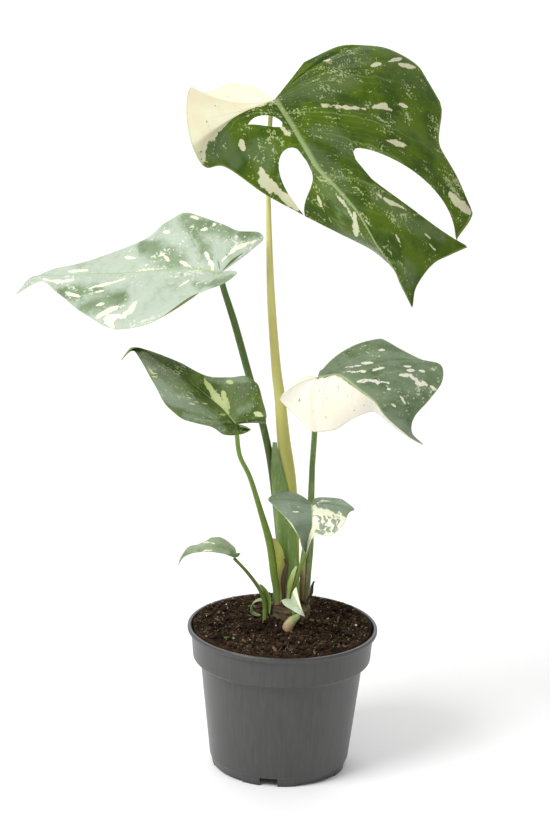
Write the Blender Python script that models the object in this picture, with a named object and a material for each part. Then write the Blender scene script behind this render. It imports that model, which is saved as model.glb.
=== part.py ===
"""A young variegated monstera in a round plastic nursery pot.

Sizes are in millimetres and become metres as each mesh is made. The pot's axis is this part's own
axis, and +Z is up from the floor. Every leaf, leaf stalk, sheath and small shoot is one solid, and
so are the crown of the stem, the potting mix and the pot.
"""

import math

import bmesh
import bpy
import numpy as np

MM = 0.001
GAP = 0.3                      # clearance between pieces that touch in the real plant

# The pot
RIM_DIAMETER = 170.0           # over the rolled lip
POT_HEIGHT = 130.7
WALL = 1.4
LIP_OVERHANG = 3.5             # how far the lip stands out from the band
LIP_HEIGHT = 4.2
BAND_HEIGHT = 28.0             # lip included
BAND_DRAFT = 1.8               # how much narrower the band is at its foot
SHOULDER = 6.9                 # how far the band's foot stands out from the body
BODY_TAPER = 10.3              # how much narrower the body is at its base
FOOT_HEIGHT = 8.3
FOOT_INSET = 2.6               # foot ring set in from the body
FOOT_WALL = 2.4
PAD_HEIGHT = 1.2               # how far the foot pads reach below the rest of the foot ring
NOTCHES = 4                    # drain notches through the foot ring
NOTCH_WIDTH = 16.0
PAD_WIDTH = 17.0               # one pad on each side of a notch
FIRST_NOTCH = -98.0            # degrees, the one at the front
DRAIN_HOLES = 6
DRAIN_HOLE_DIAMETER = 12.0
DRAIN_RING_RADIUS = 36.0

# The potting mix and the crown that the stalks grow from
MIX_BELOW_RIM = 4.5            # at the wall
MIX_MOUND = 8.0                # extra height round the crown
MIX_LUMP = 1.1                 # height of the lumps
CROWN_CENTRE = (6.0, 3.0)
CROWN_SIZE = (36.0, 28.0)      # across and front to back
CROWN_ABOVE_MIX = 16.0
CROWN_DEPTH = 15.0             # below the top of the mix

# The leaves. TOP_JOINT is how high the highest leaf joins its stalk above the crown: the whole
# plant scales with it.
TOP_JOINT = 454.0
BLADE_THICKNESS = 1.0
SMALL_BLADE_THICKNESS = 0.6    # of the two smallest
SHEATH_THICKNESS = 1.0
SCRAP_THICKNESS = 0.8
STANDARD_BOW = 0.1             # how far a side vein curves, as a share of its length
STANDARD_BELLY = 0.05          # how far the blade swells between midrib and margin

# Where the plant stands in the part's frame, so that the whole part is centred on the origin
POT_AXIS = (46.2, 0.2)

# Each leaf is a flat-lying outline about the point where its stalk joins, in shares of its length:
# (to the right, towards the tip, above the leaf's plane, share of the midrib where the vein starts).
# heading is the tip's direction from +X, pitch its slope and roll the drop of its right side. Heights
# are from the top of the crown. grid is the columns of the basal lobe, steps of the midrib and rows.
LEAVES = {
    "top_leaf": dict(
        joint=(-20, 2, 454), length=225, heading=-31, pitch=-54, roll=33,
        grid=(9, 14, 6), bow_right=((0, 0), (.27, -.1), (.4, .05), (.5, .25), (1, .27)),
        bow_left=((0, 0), (.3, .08), (1, .08)),
        belly_right=((0, 0), (.35, .01), (.5, .05), (1, .05)),
        splits=[
            dict(side=-1, at=.728, lean=-.01, inner=.3, outer=1, half_width=.068, rise=.2, fall=.43,
                mouth=.03),
            dict(side=1, at=.718, lean=-.054, inner=.065, outer=1, half_width=.053, rise=.23, fall=1,
                mouth=.01),
            dict(side=1, at=.537, lean=0, inner=.087, outer=.473, half_width=.021, rise=.3, fall=1,
                mouth=0),
        ],
        midrib=[(0, .15, .02), (0, .28, .03), (-.03, .4, .03), (-.07, .52, .01), (-.09, .66, -.02),
            (-.12, .79, -.05), (-.12, .93, -.07)],
        right=[(.01, -.09, -.07, 0), (.08, -.15, -.12, 0), (.16, -.15, -.1, 0), (.25, -.14, -.02, 0),
            (.29, -.17, .03, 0), (.36, -.09, .04, 0), (.4, .04, .03, 0), (.38, .12, 0, .04),
            (.3, .15, -.02, .12), (.2, .3, -.05, .2), (.09, .42, -.09, .27), (.07, .44, -.1, .38),
            (-.08, .58, -.17, .55), (-.17, .74, -.15, .78), (-.14, .83, -.1, .88),
            (-.12, .93, -.07, 1)],
        left=[(-.2, -.09, -.03, 0), (-.37, -.1, -.08, 0), (-.5, -.07, -.12, 0), (-.62, -.01, -.15, 0),
            (-.7, .11, -.17, 0), (-.7, .25, -.17, .01), (-.59, .42, -.14, .05), (-.6, .56, -.15, .09),
            (-.6, .69, -.18, .13), (-.48, .77, -.19, .17), (-.5, .81, -.17, .33),
            (-.34, .81, -.11, .55), (-.19, .86, -.08, .78), (-.12, .93, -.07, 1)],
    ),
    "left_leaf": dict(
        joint=(-62, -11, 305), length=198, heading=161, pitch=-7, roll=-42,
        grid=(7, 10, 5),
        midrib=[(.02, .15, .01), (0, .49, .01), (0, .75, 0), (.01, .91, -.02), (-.04, 1, -.08)],
        right=[(.05, -.05, .03, 0), (.13, -.12, .01, 0), (.18, -.16, 0, 0), (.21, -.13, .01, 0),
            (.2, -.06, .03, 0), (.24, .04, .04, 0), (.29, .17, .04, 0), (.3, .22, .04, .01),
            (.25, .3, .04, .13), (.17, .4, .02, .28), (.07, .64, .01, .59), (.02, .84, 0, .83),
            (-.04, 1, -.08, 1)],
        left=[(-.01, -.06, .03, 0), (-.04, -.1, .05, 0), (-.12, -.07, .09, 0), (-.18, 0, .12, 0),
            (-.21, .07, .11, 0), (-.3, .22, .07, .01), (-.32, .39, .04, .16), (-.23, .58, .03, .41),
            (-.11, .74, .02, .66), (-.03, .86, 0, .85), (-.04, 1, -.08, 1)],
    ),
    "lower_left_leaf": dict(
        joint=(-45, -62, 185), length=149, heading=133, pitch=18, roll=5,
        grid=(7, 9, 4),
        midrib=[(.01, .18, .02), (.01, .4, .02), (-.01, .66, 0), (.01, .91, -.03), (0, .98, -.07),
            (-.05, .97, -.13)],
        right=[(.06, -.05, .04, 0), (.1, -.12, .07, 0), (.06, -.15, .13, 0), (.09, -.06, .18, 0),
            (.14, .08, .22, 0), (.13, .15, .22, .06), (.08, .23, .17, .18), (.01, .35, .12, .34),
            (.05, .62, .05, .58), (.02, .84, 0, .83), (-.02, .93, -.03, .92), (-.05, .97, -.13, 1)],
        left=[(-.05, -.08, .04, 0), (.01, -.11, .03, 0), (-.04, -.1, 0, 0), (-.14, -.07, -.01, 0),
            (-.2, -.01, .01, 0), (-.34, .06, .03, 0), (-.36, .2, .03, 0), (-.23, .48, 0, .32),
            (-.06, .83, -.03, .79), (-.01, .95, -.06, .95), (-.05, .97, -.13, 1)],
    ),
    "right_leaf": dict(
        joint=(24, -35, 221), length=130, heading=-41, pitch=-17, roll=30,
        grid=(7, 9, 4),
        midrib=[(-.08, .13, .04), (-.06, .32, .06), (-.05, .48, .06), (-.02, .59, .04), (-.01, .8, 0),
            (-.04, .91, -.04)],
        right=[(.03, -.07, 0, 0), (.11, -.11, -.02, 0), (.25, -.11, -.05, 0), (.26, -.04, -.11, 0),
            (.26, .14, -.18, 0), (.22, .2, -.2, .05), (.14, .27, -.2, .14), (0, .32, -.17, .3),
            (-.09, .43, -.12, .48), (-.06, .63, -.1, .7), (-.04, .85, -.06, .92), (-.04, .91, -.04, 1)],
        left=[(-.05, -.03, 0, 0), (-.17, -.01, 0, 0), (-.43, .03, -.02, 0), (-.5, .05, -.03, 0),
            (-.54, .08, -.04, 0), (-.56, .22, -.06, .05), (-.6, .37, -.09, .16),
            (-.67, .47, -.13, .25), (-.58, .57, -.15, .38), (-.4, .63, -.12, .53),
            (-.2, .68, -.08, .68), (-.08, .77, -.06, .82), (-.04, .91, -.04, 1)],
    ),
    "centre_leaf": dict(
        joint=(22, -35, 106), length=68, heading=-90, pitch=0, roll=2,
        grid=(7, 9, 4),
        midrib=[(-.01, .19, -.06), (-.01, .39, -.15), (.03, .47, -.26), (.07, .71, -.42)],
        right=[(.1, .04, .03, 0), (.18, -.23, .05, 0), (.33, -.27, .1, 0), (.44, -.14, .12, 0),
            (.55, .12, .12, 0), (.5, .22, .08, 0), (.31, .57, 0, .35), (.16, .82, -.14, .7),
            (.12, .84, -.28, .75), (.07, .71, -.42, 1)],
        left=[(-.03, -.14, .03, 0), (-.12, -.2, .03, 0), (-.36, -.18, .02, 0), (-.45, -.1, 0, 0),
            (-.55, .09, -.04, 0), (-.48, .16, -.06, 0), (-.39, .48, -.12, .21), (-.22, .66, -.2, .5),
            (-.09, .6, -.2, .54), (0, .64, -.25, .64), (.04, .72, -.32, .69), (.07, .71, -.42, 1)],
    ),
    "small_left_leaf": dict(
        joint=(-43, -29, 53), length=60, heading=211, pitch=2, roll=-40,
        grid=(5, 8, 3), thickness=SMALL_BLADE_THICKNESS,
        midrib=[(.05, .07, .05), (.11, .23, .1), (.15, .39, .12), (.22, .64, .08), (.17, .79, .02),
            (.03, .92, -.05)],
        right=[(.07, -.03, .02, 0), (.13, -.03, .04, 0), (.2, .01, .05, 0), (.31, .11, .06, 0),
            (.35, .21, .06, .08), (.35, .29, .06, .16), (.31, .39, .06, .3), (.27, .55, .05, .5),
            (.26, .7, .02, .7), (.12, .86, -.02, .88), (.03, .92, -.05, 1)],
        left=[(-.01, -.03, .04, 0), (.02, -.06, .08, 0), (.02, .06, .1, 0), (0, .18, .13, 0),
            (.02, .29, .15, .12), (.06, .44, .16, .28), (.09, .59, .14, .45), (.11, .72, .1, .6),
            (.1, .83, .05, .78), (.06, .9, 0, .9), (.03, .92, -.05, 1)],
    ),
    "baby_leaf": dict(
        joint=(7, -30, 16), length=24, heading=-70, pitch=-10, roll=30,
        grid=(3, 5, 2), thickness=SMALL_BLADE_THICKNESS,
        midrib=[(-.02, .52, 0), (-.07, .82, -.12), (-.08, .93, -.3)],
        right=[(.15, -.16, .03, 0), (.34, -.07, .12, 0), (.34, .12, .08, 0), (.22, .5, 0, .35),
            (.08, .77, -.12, .71), (-.08, .93, -.3, 1)],
        left=[(-.11, -.08, .05, 0), (-.33, -.16, .2, 0), (-.4, -.19, .22, 0), (-.3, .1, .1, 0),
            (-.15, .64, -.08, .53), (-.08, .93, -.3, 1)],
    ),
}

# Each stalk from just under its leaf to just above the crown: (x, y, height, radius). The two
# smallest go on down into the mix. below is how far under the blade the top's centre is, in radii.
STALKS = {
    "top_stalk": dict(leaf="top_leaf", below=1.35, route=[
        (-23, 12, 437, 1.9), (-24, 20, 399, 1.9), (-23, 24, 363, 2), (-19, 27, 283, 3.4),
        (-13, 26, 218, 4.2), (-8, 24, 183, 4.9), (-4, 20, 149, 5.8), (2, 15, 112, 6.3),
        (6, 9, 67, 6.2), (8, 5, 27, 5.7), (9, 4, 12, 5.5)]),
    "left_stalk": dict(leaf="left_leaf", below=0.97, route=[
        (-60, -8, 293, 2.7), (-49, 0, 257, 3.1), (-35, 10, 206, 3.2), (-23, 18, 163, 3.2),
        (-15, 21, 128, 3.4), (-9, 21, 91, 3.8), (-4, 18, 55, 4.2), (0, 14, 23, 4.4),
        (0, 12.5, 12, 4.5)]),
    "lower_left_stalk": dict(leaf="lower_left_leaf", below=0.95, route=[
        (-44, -60, 176, 2), (-41, -52, 154, 2), (-32, -40, 131, 2.1), (-22, -22, 94, 2.6),
        (-13, -8, 59, 3.6), (-8, -2, 29, 4.3), (-5, 0, 12, 4.5)]),
    "right_stalk": dict(leaf="right_leaf", below=1.12, route=[
        (24, -30, 212, 2.3), (23, -22, 193, 2.4), (23, -13, 167, 2.5), (22, -3, 127, 2.6),
        (22, 3, 98, 3), (22, 7, 59, 3.6), (20, 9, 26, 4.3), (19.5, 9, 12, 4.5)]),
    "centre_stalk": dict(leaf="centre_leaf", below=1.12, route=[
        (22, -31, 93, 1.7), (21.5, -28, 81, 1.9), (18, -20, 55, 2.1), (12, -13, 33, 2.3),
        (8, -8, 17, 2.5), (7, -7, 10, 2.5)]),
    "small_left_stalk": dict(leaf="small_left_leaf", below=1.1, planted=True, route=[
        (-41, -27.5, 48.5, 1.4), (-32, -20, 36, 1.5), (-22, -11, 19, 1.7), (-17, -5, 5, 1.9),
        (-16, -3, -8, 2)]),
    "baby_stalk": dict(leaf="baby_leaf", below=1.0, planted=True, route=[
        (7, -26, 13, 1.1), (9, -19, 5, 1.2), (10, -14.5, -6, 1.3)]),
}
PLANTED_DEPTH = 10.0           # how far a planted foot reaches below the mix

# Each sheath is the lower part of a stalk's wrapping, open along one side. Rows run from its upper
# edge down: (height, first angle, last angle, first edge's flare, last edge's flare), degrees round
# the stalk that it wraps, counter-clockwise from +X.
SHEATHS = {
    "left_sheath": dict(stalk="top_stalk", rows=[
        (146, 196, 206, 3, 0), (134, 198, 222, 5.5, 0), (112, 198, 250, 8.5, 0),
        (85, 192, 285, 7.5, 0), (60, 188, 300, 6, 0), (36, 186, 315, 3.5, 0),
        (18, 186, 318, 1.2, 0), (3, 188, 312, 0, 0)]),
    "lower_left_sheath": dict(stalk="lower_left_stalk", rows=[
        (66, 330, 345, 0, 1), (60, 318, 352, 0, 4), (50, 310, 355, 0, 5.5), (38, 305, 350, 0, 5),
        (24, 300, 345, 0, 2.5), (12, 295, 340, 0, 1), (3, 295, 335, 0, 0)]),
    "right_sheath": dict(stalk="right_stalk", rows=[
        (64, 190, 212, 0, 0), (54, 184, 232, 1, 0), (40, 188, 245, 1.4, 0), (22, 206, 258, .2, 0),
        (3, 218, 258, 0, 0)]),
    "centre_sheath": dict(stalk="centre_stalk", rows=[
        (42, 172, 200, 1, 0), (34, 165, 225, 2.6, 0), (24, 170, 240, 2.6, 0), (12, 180, 245, 1, 0),
        (3, 190, 245, 0, 0)]),
    "small_left_sheath": dict(stalk="small_left_stalk", slant=1.5, rows=[
        (22, 30, 50, .5, 0), (17, 0, 60, 2.6, 0), (9, -12, 60, 3.2, 0), (0, -20, 50, 1.6, 0),
        (-8, -25, 40, .6, 0)]),
}

# Dry or curled scraps: a centre line with the width at each point, lying across the given direction
SCRAPS = {
    "dried_bract": dict(across=(.9, -.4, 0), route=[
        (0, -11, 47, 1.5), (2, -10.5, 41, 3.5), (0, -10.5, 33, 4), (-1, -10.5, 24, 4),
        (0, -9, 12, 3), (1, -7, .5, 2)]),
    "dead_scrap": dict(across=(.75, .66, 0), route=[
        (27, -3, 24, 1.5), (25.5, -2, 19, 3), (25, -2, 12, 3.5), (22.5, -1, 7, 3), (20.5, 0, .5, 3)]),
    "curled_leaflet": dict(across=(.25, 1, .1), route=[
        (-19.5, 8, -14.5, 3), (-24, 8, -13.5, 5), (-28, 8, -10, 6), (-28, 8, -4.5, 6.5),
        (-24, 8, 0, 6.5), (-19, 8.5, 1, 6), (-16.5, 9, -7, 4.5), (-15.5, 9, -16, 3),
        (-15.5, 9, -26, 2.5)]),
}
# A short side shoot that has only just come up
SHOOT = [(14.5, -20, -1, 1.2), (12.5, -20, -4, 2.8), (8, -20.5, -8, 4.2), (4.5, -21, -14, 4.6),
         (4, -21, -24, 3.6)]

# ---- sizes that follow from the ones above ----

lip_radius = RIM_DIAMETER / 2
band_radius = lip_radius - LIP_OVERHANG
band_foot_radius = band_radius - BAND_DRAFT
body_top_radius = band_foot_radius - SHOULDER
body_base_radius = body_top_radius - BODY_TAPER
foot_radius = body_base_radius - FOOT_INSET
band_foot = POT_HEIGHT - BAND_HEIGHT
base_top = FOOT_HEIGHT + WALL + 0.8
plant_scale = TOP_JOINT / LEAVES["top_leaf"]["joint"][2]
mix_top = POT_HEIGHT - MIX_BELOW_RIM + MIX_MOUND
crown_top = mix_top + CROWN_ABOVE_MIX


# ---- curves ----

def smooth(knots, values, at):
    """A curve through the values that turns only where they turn."""
    knots, values, at = (np.asarray(x, float) for x in (knots, values, at))
    step = np.diff(knots)
    rise = np.diff(values) / step
    slope = np.zeros(len(knots))
    slope[1:-1] = (rise[:-1] * step[1:] + rise[1:] * step[:-1]) / (step[:-1] + step[1:])
    slope[1:-1][rise[:-1] * rise[1:] <= 0] = 0
    slope[0], slope[-1] = rise[0], rise[-1]
    i = np.clip(np.searchsorted(knots, at, side="right") - 1, 0, len(knots) - 2)
    s = (at - knots[i]) / step[i]
    return ((2 * s**3 - 3 * s**2 + 1) * values[i] + (s**3 - 2 * s**2 + s) * step[i] * slope[i]
            + (3 * s**2 - 2 * s**3) * values[i + 1] + (s**3 - s**2) * step[i] * slope[i + 1])


def path(points, at):
    """The smooth curve through the points, at shares of the number of its spans."""
    points = np.asarray(points, float)
    knots = np.linspace(0, 1, len(points))
    return np.stack([smooth(knots, column, at) for column in points.T], axis=-1)


# ---- meshes and objects ----
def add(name, points, faces, colour, roughness=0.5):
    """One object in the part's frame, from points in millimetres."""
    mesh = bpy.data.meshes.new(name)
    mesh.from_pydata((np.asarray(points, float) * MM).tolist(), [], faces)
    mesh.update()
    material = bpy.data.materials.new(name)
    material.use_nodes = True
    shader = material.node_tree.nodes["Principled BSDF"]
    shader.inputs["Base Color"].default_value = (*colour, 1)
    shader.inputs["Roughness"].default_value = roughness
    mesh.materials.append(material)
    thing = bpy.data.objects.new(name, mesh)
    bpy.context.scene.collection.objects.link(thing)
    thing.parent = frame
    return thing


def weld(thing, within=0.02):
    """Points this close, in millimetres, become one."""
    mesh = bmesh.new()
    mesh.from_mesh(thing.data)
    bmesh.ops.remove_doubles(mesh, verts=mesh.verts, dist=within * MM)
    mesh.to_mesh(thing.data)
    mesh.free()


def thicken(thing, thickness):
    solid = thing.modifiers.new("thickness", "SOLIDIFY")
    solid.thickness = thickness * MM
    solid.offset = 0


def cut(thing, cutter):
    """Takes the cutter's solid away from the thing."""
    cutter.hide_render = True
    cutter.display_type = "WIRE"
    pocket = thing.modifiers.new("pocket", "BOOLEAN")
    pocket.operation = "DIFFERENCE"
    pocket.solver = "EXACT"
    pocket.object = cutter


def grid_faces(rows, columns, closed=False):
    """Quads of a grid whose points are numbered row by row."""
    last = columns if closed else columns - 1
    return [(r * columns + c, r * columns + (c + 1) % columns,
             (r + 1) * columns + (c + 1) % columns, (r + 1) * columns + c)
            for r in range(rows - 1) for c in range(last)]


def rings_to_solid(name, rings, colour, roughness=0.5):
    """A closed body through rings of points, the first and last ring capped."""
    rows, columns = rings.shape[:2]
    faces = grid_faces(rows, columns, closed=True)
    faces.append(tuple(range(columns))[::-1])
    faces.append(tuple(range((rows - 1) * columns, rows * columns)))
    return add(name, rings.reshape(-1, 3), faces, colour, roughness)


def tube(name, centres, radii, colour, sides=12, round_start=False):
    """A round stalk along the centres. A rounded start tapers off within its own radius."""
    centres, radii = np.asarray(centres, float), np.asarray(radii, float)
    if round_start:
        away = centres[0] - centres[1]
        away /= np.linalg.norm(away)
        reach = np.array([0.9, 0.55])[:, None] * radii[0]
        centres = np.vstack([centres[0] + reach * away, centres])
        radii = np.concatenate([radii[0] * np.array([0.45, 0.85]), radii])
    tangent = np.gradient(centres, axis=0)
    tangent /= np.linalg.norm(tangent, axis=1, keepdims=True)
    side = np.cross(tangent, (0.0, 1.0, 0.0))
    side /= np.linalg.norm(side, axis=1, keepdims=True)
    other = np.cross(tangent, side)
    turn = np.linspace(0, 2 * math.pi, sides, endpoint=False)
    rings = (centres[:, None] + radii[:, None, None]
             * (np.cos(turn)[None, :, None] * side[:, None] + np.sin(turn)[None, :, None] * other[:, None]))
    return rings_to_solid(name, rings, colour)


# ---- the pot ----

def in_arc(angle, centre, half):
    return abs((angle - centre + 180) % 360 - 180) < half


def foot_bottom(angle, notch_half, pad_half):
    """Height of the foot ring's lower edge: a notch, a pad beside it, or the ring between."""
    for n in range(NOTCHES):
        centre = FIRST_NOTCH + n * 360 / NOTCHES
        if in_arc(angle, centre, notch_half):
            return FOOT_HEIGHT - 0.8
        if in_arc(angle, centre, pad_half):
            return 0.0
    return PAD_HEIGHT


def make_pot():
    notch_half = math.degrees(NOTCH_WIDTH / 2 / foot_radius)
    pad_half = notch_half + math.degrees(PAD_WIDTH / foot_radius)
    angles = set(np.arange(0, 360, 6).tolist())
    for n in range(NOTCHES):
        for half in (notch_half, pad_half):
            for edge in (-half, half):
                at = FIRST_NOTCH + n * 360 / NOTCHES + edge
                angles = {a for a in angles if not in_arc(a, at, 1.2)}
                angles |= {(at - 0.15) % 360, (at + 0.15) % 360}
    angles = sorted(angles)

    inner_body_top = body_top_radius - WALL
    # (radius, height), from below the centre round to above it
    profile = [
        (0, FOOT_HEIGHT + 0.8), (foot_radius - FOOT_WALL, FOOT_HEIGHT + 0.8),
        (foot_radius - FOOT_WALL, None), (foot_radius, None),
        (body_base_radius - 0.7, FOOT_HEIGHT), (body_base_radius, FOOT_HEIGHT + 0.8),
        (body_top_radius, band_foot - 4), (body_top_radius + 3, band_foot - 3.2),
        (band_foot_radius - 0.9, band_foot - 0.8), (band_foot_radius, band_foot + 2),
        (band_radius, POT_HEIGHT - LIP_HEIGHT - 0.8),
        (lip_radius - 0.9, POT_HEIGHT - LIP_HEIGHT), (lip_radius, POT_HEIGHT - LIP_HEIGHT / 2),
        (lip_radius - 1, POT_HEIGHT - 0.3), (lip_radius - 2, POT_HEIGHT),
        (lip_radius - 3, POT_HEIGHT - 0.3), (band_radius - WALL, POT_HEIGHT - LIP_HEIGHT),
        (band_foot_radius - WALL, band_foot + 2), (inner_body_top + 5, band_foot - 1.5),
        (inner_body_top, band_foot - 3.5), (body_base_radius - WALL, base_top + 1),
        (body_base_radius - WALL - 1, base_top),
        (0, base_top),
    ]
    points, faces = [], []
    count = len(angles)
    for radius, height in profile[1:-1]:
        for angle in angles:
            z = foot_bottom(angle, notch_half, pad_half) if height is None else height
            turn = math.radians(angle)
            points.append((radius * math.cos(turn), radius * math.sin(turn), z))
    faces = grid_faces(len(profile) - 2, count, closed=True)
    below, above = len(points), len(points) + 1
    points += [(0, 0, profile[0][1]), (0, 0, profile[-1][1])]
    last = (len(profile) - 3) * count
    for c in range(count):
        faces.append((below, (c + 1) % count, c))
        faces.append((above, last + c, last + (c + 1) % count))
    pot = add("pot", points, faces, (0.1, 0.1, 0.1), 0.45)

    turn = np.linspace(0, 2 * math.pi, 20, endpoint=False)
    hole = DRAIN_HOLE_DIAMETER / 2 * np.stack([np.cos(turn), np.sin(turn), 0 * turn], axis=1)
    points, faces = [], []
    for n in range(DRAIN_HOLES):
        around = 2 * math.pi * (n + 0.5) / DRAIN_HOLES
        centre = DRAIN_RING_RADIUS * np.array([math.cos(around), math.sin(around), 0])
        start = len(points)
        for z in (FOOT_HEIGHT - 3, base_top + 3):
            points += (hole + centre + (0, 0, z)).tolist()
        faces += [tuple(start + i for i in face) for face in grid_faces(2, 20, closed=True)]
        faces += [tuple(range(start, start + 20))[::-1], tuple(range(start + 20, start + 40))]
    cut(pot, add("drain_hole_cutter", points, faces, (0.1, 0.1, 0.1)))


# ---- the potting mix and the crown ----

def mix_height(x, y):
    """The lumpy top of the mix: lower at the wall, mounded round the crown."""
    reach = np.hypot(x - CROWN_CENTRE[0], y - CROWN_CENTRE[1]) / (0.5 * lip_radius)
    lumps = np.sin(0.31 * x + 1.3) * np.cos(0.27 * y - 0.4) + 0.6 * np.sin(0.17 * x - 0.23 * y + 2.1)
    return POT_HEIGHT - MIX_BELOW_RIM + MIX_MOUND * np.exp(-reach**2) + MIX_LUMP * lumps / 1.6


def make_mix():
    sides = 60
    turn = np.linspace(0, 2 * math.pi, sides, endpoint=False)
    inside = WALL + 2 * GAP
    edge = band_foot_radius - inside
    wall = [(base_top + GAP, body_base_radius - inside - 1),
            (base_top + 1 + 2 * GAP, body_base_radius - inside),
            (band_foot - 3.5, body_top_radius - inside), (band_foot - 1.2, body_top_radius - inside + 4.4),
            (band_foot + 2.6, edge)]
    rings = [np.stack([r * np.cos(turn), r * np.sin(turn), np.full(sides, z)], axis=1) for z, r in wall]
    for share in (1, 0.94, 0.86, 0.77, 0.67, 0.57, 0.46, 0.35, 0.24, 0.12):
        x, y = share * edge * np.cos(turn), share * edge * np.sin(turn)
        rings.append(np.stack([x, y, mix_height(x, y)], axis=1))
    return rings_to_solid("potting_mix", np.array(rings), (0.035, 0.02, 0.012), 0.95)


def crown_rings(extra):
    """Rings of the crown, grown by the extra all round. The ridges are old leaf scars."""
    rows = ((-CROWN_DEPTH - CROWN_ABOVE_MIX, 0.8), (-21, 0.94), (-13, 1), (-11, 1.03), (-9, 0.97),
            (-6, 0.99), (-4, 1.02), (-2.5, 0.97), (-0.8, 0.96), (0, 0.9))
    turn = np.linspace(0, 2 * math.pi, 28, endpoint=False)
    rings = []
    for height, share in rows:
        z = crown_top + plant_scale * height + (extra if height == 0 else 0)
        half = [plant_scale * size / 2 * share + extra for size in CROWN_SIZE]
        x = plant_scale * CROWN_CENTRE[0] + half[0] * np.cos(turn) * (1 + 0.03 * np.sin(3 * turn + height))
        y = plant_scale * CROWN_CENTRE[1] + half[1] * np.sin(turn)
        rings.append(np.stack([x, y, np.full(28, z - (extra if height < -22 else 0))], axis=1))
    return np.array(rings)


# ---- the plant: every point is scaled about the top of the crown ----

def in_plant(points):
    return np.asarray(points, float) * plant_scale + (0, 0, crown_top)


def leaf_axes(leaf):
    """Unit vectors across the leaf to its right, along it and out of its face."""
    heading, pitch, roll = np.radians([leaf["heading"], leaf["pitch"], leaf["roll"]])
    along = np.array([math.cos(heading) * math.cos(pitch), math.sin(heading) * math.cos(pitch),
                      math.sin(pitch)])
    level = np.array([math.sin(heading), -math.cos(heading), 0])
    face = np.cross(level, along)
    across = level * math.cos(roll) - face * math.sin(roll)
    return across, along, np.cross(across, along)


def rib_share(margin):
    """Where the vein to each margin point leaves the midrib. All of a basal lobe's start at its joint."""
    return ((margin[..., 3] - 0.004) / 0.996).clip(0, 1)


def blade(leaf, side, vein, out):
    """Points of the leaf's surface at shares along the margin (vein) and from midrib to margin (out)."""
    name = "right" if side > 0 else "left"
    margin = path(leaf[name], vein)
    rib = np.array([(0, 0, 0)] + list(leaf["midrib"]), float)
    length = np.concatenate([[0], np.cumsum(np.linalg.norm(np.diff(rib, axis=0), axis=1))])
    start = np.stack([smooth(length / length[-1], column, rib_share(margin)) for column in rib.T], axis=-1)
    reach = margin[..., :3] - start
    bow = leaf.get("bow_" + name, ((0, 0), (0.3, STANDARD_BOW), (1, STANDARD_BOW)))
    belly = leaf.get("belly_" + name, ((0, STANDARD_BELLY), (1, STANDARD_BELLY)))
    sideways = side * np.stack([reach[..., 1], -reach[..., 0], 0 * reach[..., 0]], axis=-1)
    hump = (4 * out * (1 - out))[..., None]
    points = start + reach * out[..., None] + hump * smooth(*zip(*bow), vein)[..., None] * sideways
    points[..., 2] += hump[..., 0] * smooth(*zip(*belly), vein) * np.linalg.norm(reach, axis=-1)
    return points


def vein_shares(leaf, name):
    """Columns of the grid: evenly spaced in the basal lobe, then at even steps of the midrib."""
    basal, steps = leaf["grid"][:2]
    at = np.linspace(0, 1, 801)
    rib = np.maximum.accumulate(rib_share(path(leaf[name], at)))
    lobe_end = at[rib == 0][-1]
    steps = np.linspace(0, 1, steps + 1)[1:]
    later = np.interp(steps, rib + 1e-9 * at, at)
    later[-1] = 1
    return np.concatenate([np.linspace(0, lobe_end, basal), later])


def make_leaf(name, leaf):
    across, along, face = leaf_axes(leaf)
    out = np.linspace(0, 1, leaf["grid"][2] + 1)
    points, faces = [], []
    for side in (1, -1):
        columns = list(vein_shares(leaf, "right" if side > 0 else "left"))
        grid = np.repeat(np.array(columns)[:, None], len(out), axis=1)
        seams = []
        for split in [s for s in leaf.get("splits", ()) if s["side"] == side]:
            at = int(np.abs(grid[:, 0] - split["at"]).argmin())
            grid = np.insert(grid, at, grid[at], axis=0)
            open_part(grid, at, out, split)
            seams = [s + (s >= at) for s in seams] + [at]
        start = len(points)
        flat = blade(leaf, side, grid.clip(0, 1), np.broadcast_to(out, grid.shape))
        placed = np.asarray(leaf["joint"]) + leaf["length"] * (
            flat[..., :1] * across + flat[..., 1:2] * along + flat[..., 2:] * face)
        points += in_plant(placed).reshape(-1, 3).tolist()
        for number, quad in enumerate(grid_faces(len(grid), len(out))):
            if number // (len(out) - 1) not in seams:
                faces.append(tuple(start + i for i in (quad if side > 0 else quad[::-1])))
    thing = add(name, points, faces, leaf.get("colour", (0.05, 0.16, 0.04)), 0.4)
    weld(thing)
    thicken(thing, leaf.get("thickness", BLADE_THICKNESS))


def open_part(grid, at, out, split):
    """Moves the two copies of one column apart, and eases the columns on each side of them."""
    reach = 3
    share = ((out - split["inner"]) / (split["outer"] - split["inner"])).clip(0, 1)
    rise, fall = split["rise"], split["fall"]
    peak = (rise / (rise + fall)) ** rise * (fall / (rise + fall)) ** fall
    half = split["half_width"] * share**rise * (1 - share) ** fall / peak + split["mouth"] * share
    half[(out <= split["inner"]) | (share >= 1) & (split["mouth"] == 0)] = 0
    centre = split["at"] + split["lean"] * (1 - share) * np.minimum(1, out / split["inner"])
    centre = grid[at, 0] + (centre - grid[at, 0]) * np.minimum(1, out / split["inner"])
    for first, step, moved in ((at, -1, centre - half), (at + 1, 1, centre + half)):
        start = grid[first].copy()
        for k in range(reach):
            if 0 < first + step * k < len(grid) - 1:
                far = grid[min(max(first + step * reach, 0), len(grid) - 1)]
                ease = (grid[first + step * k] - far) / (start - far)
                grid[first + step * k] = far + ease * (moved - far)


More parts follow.
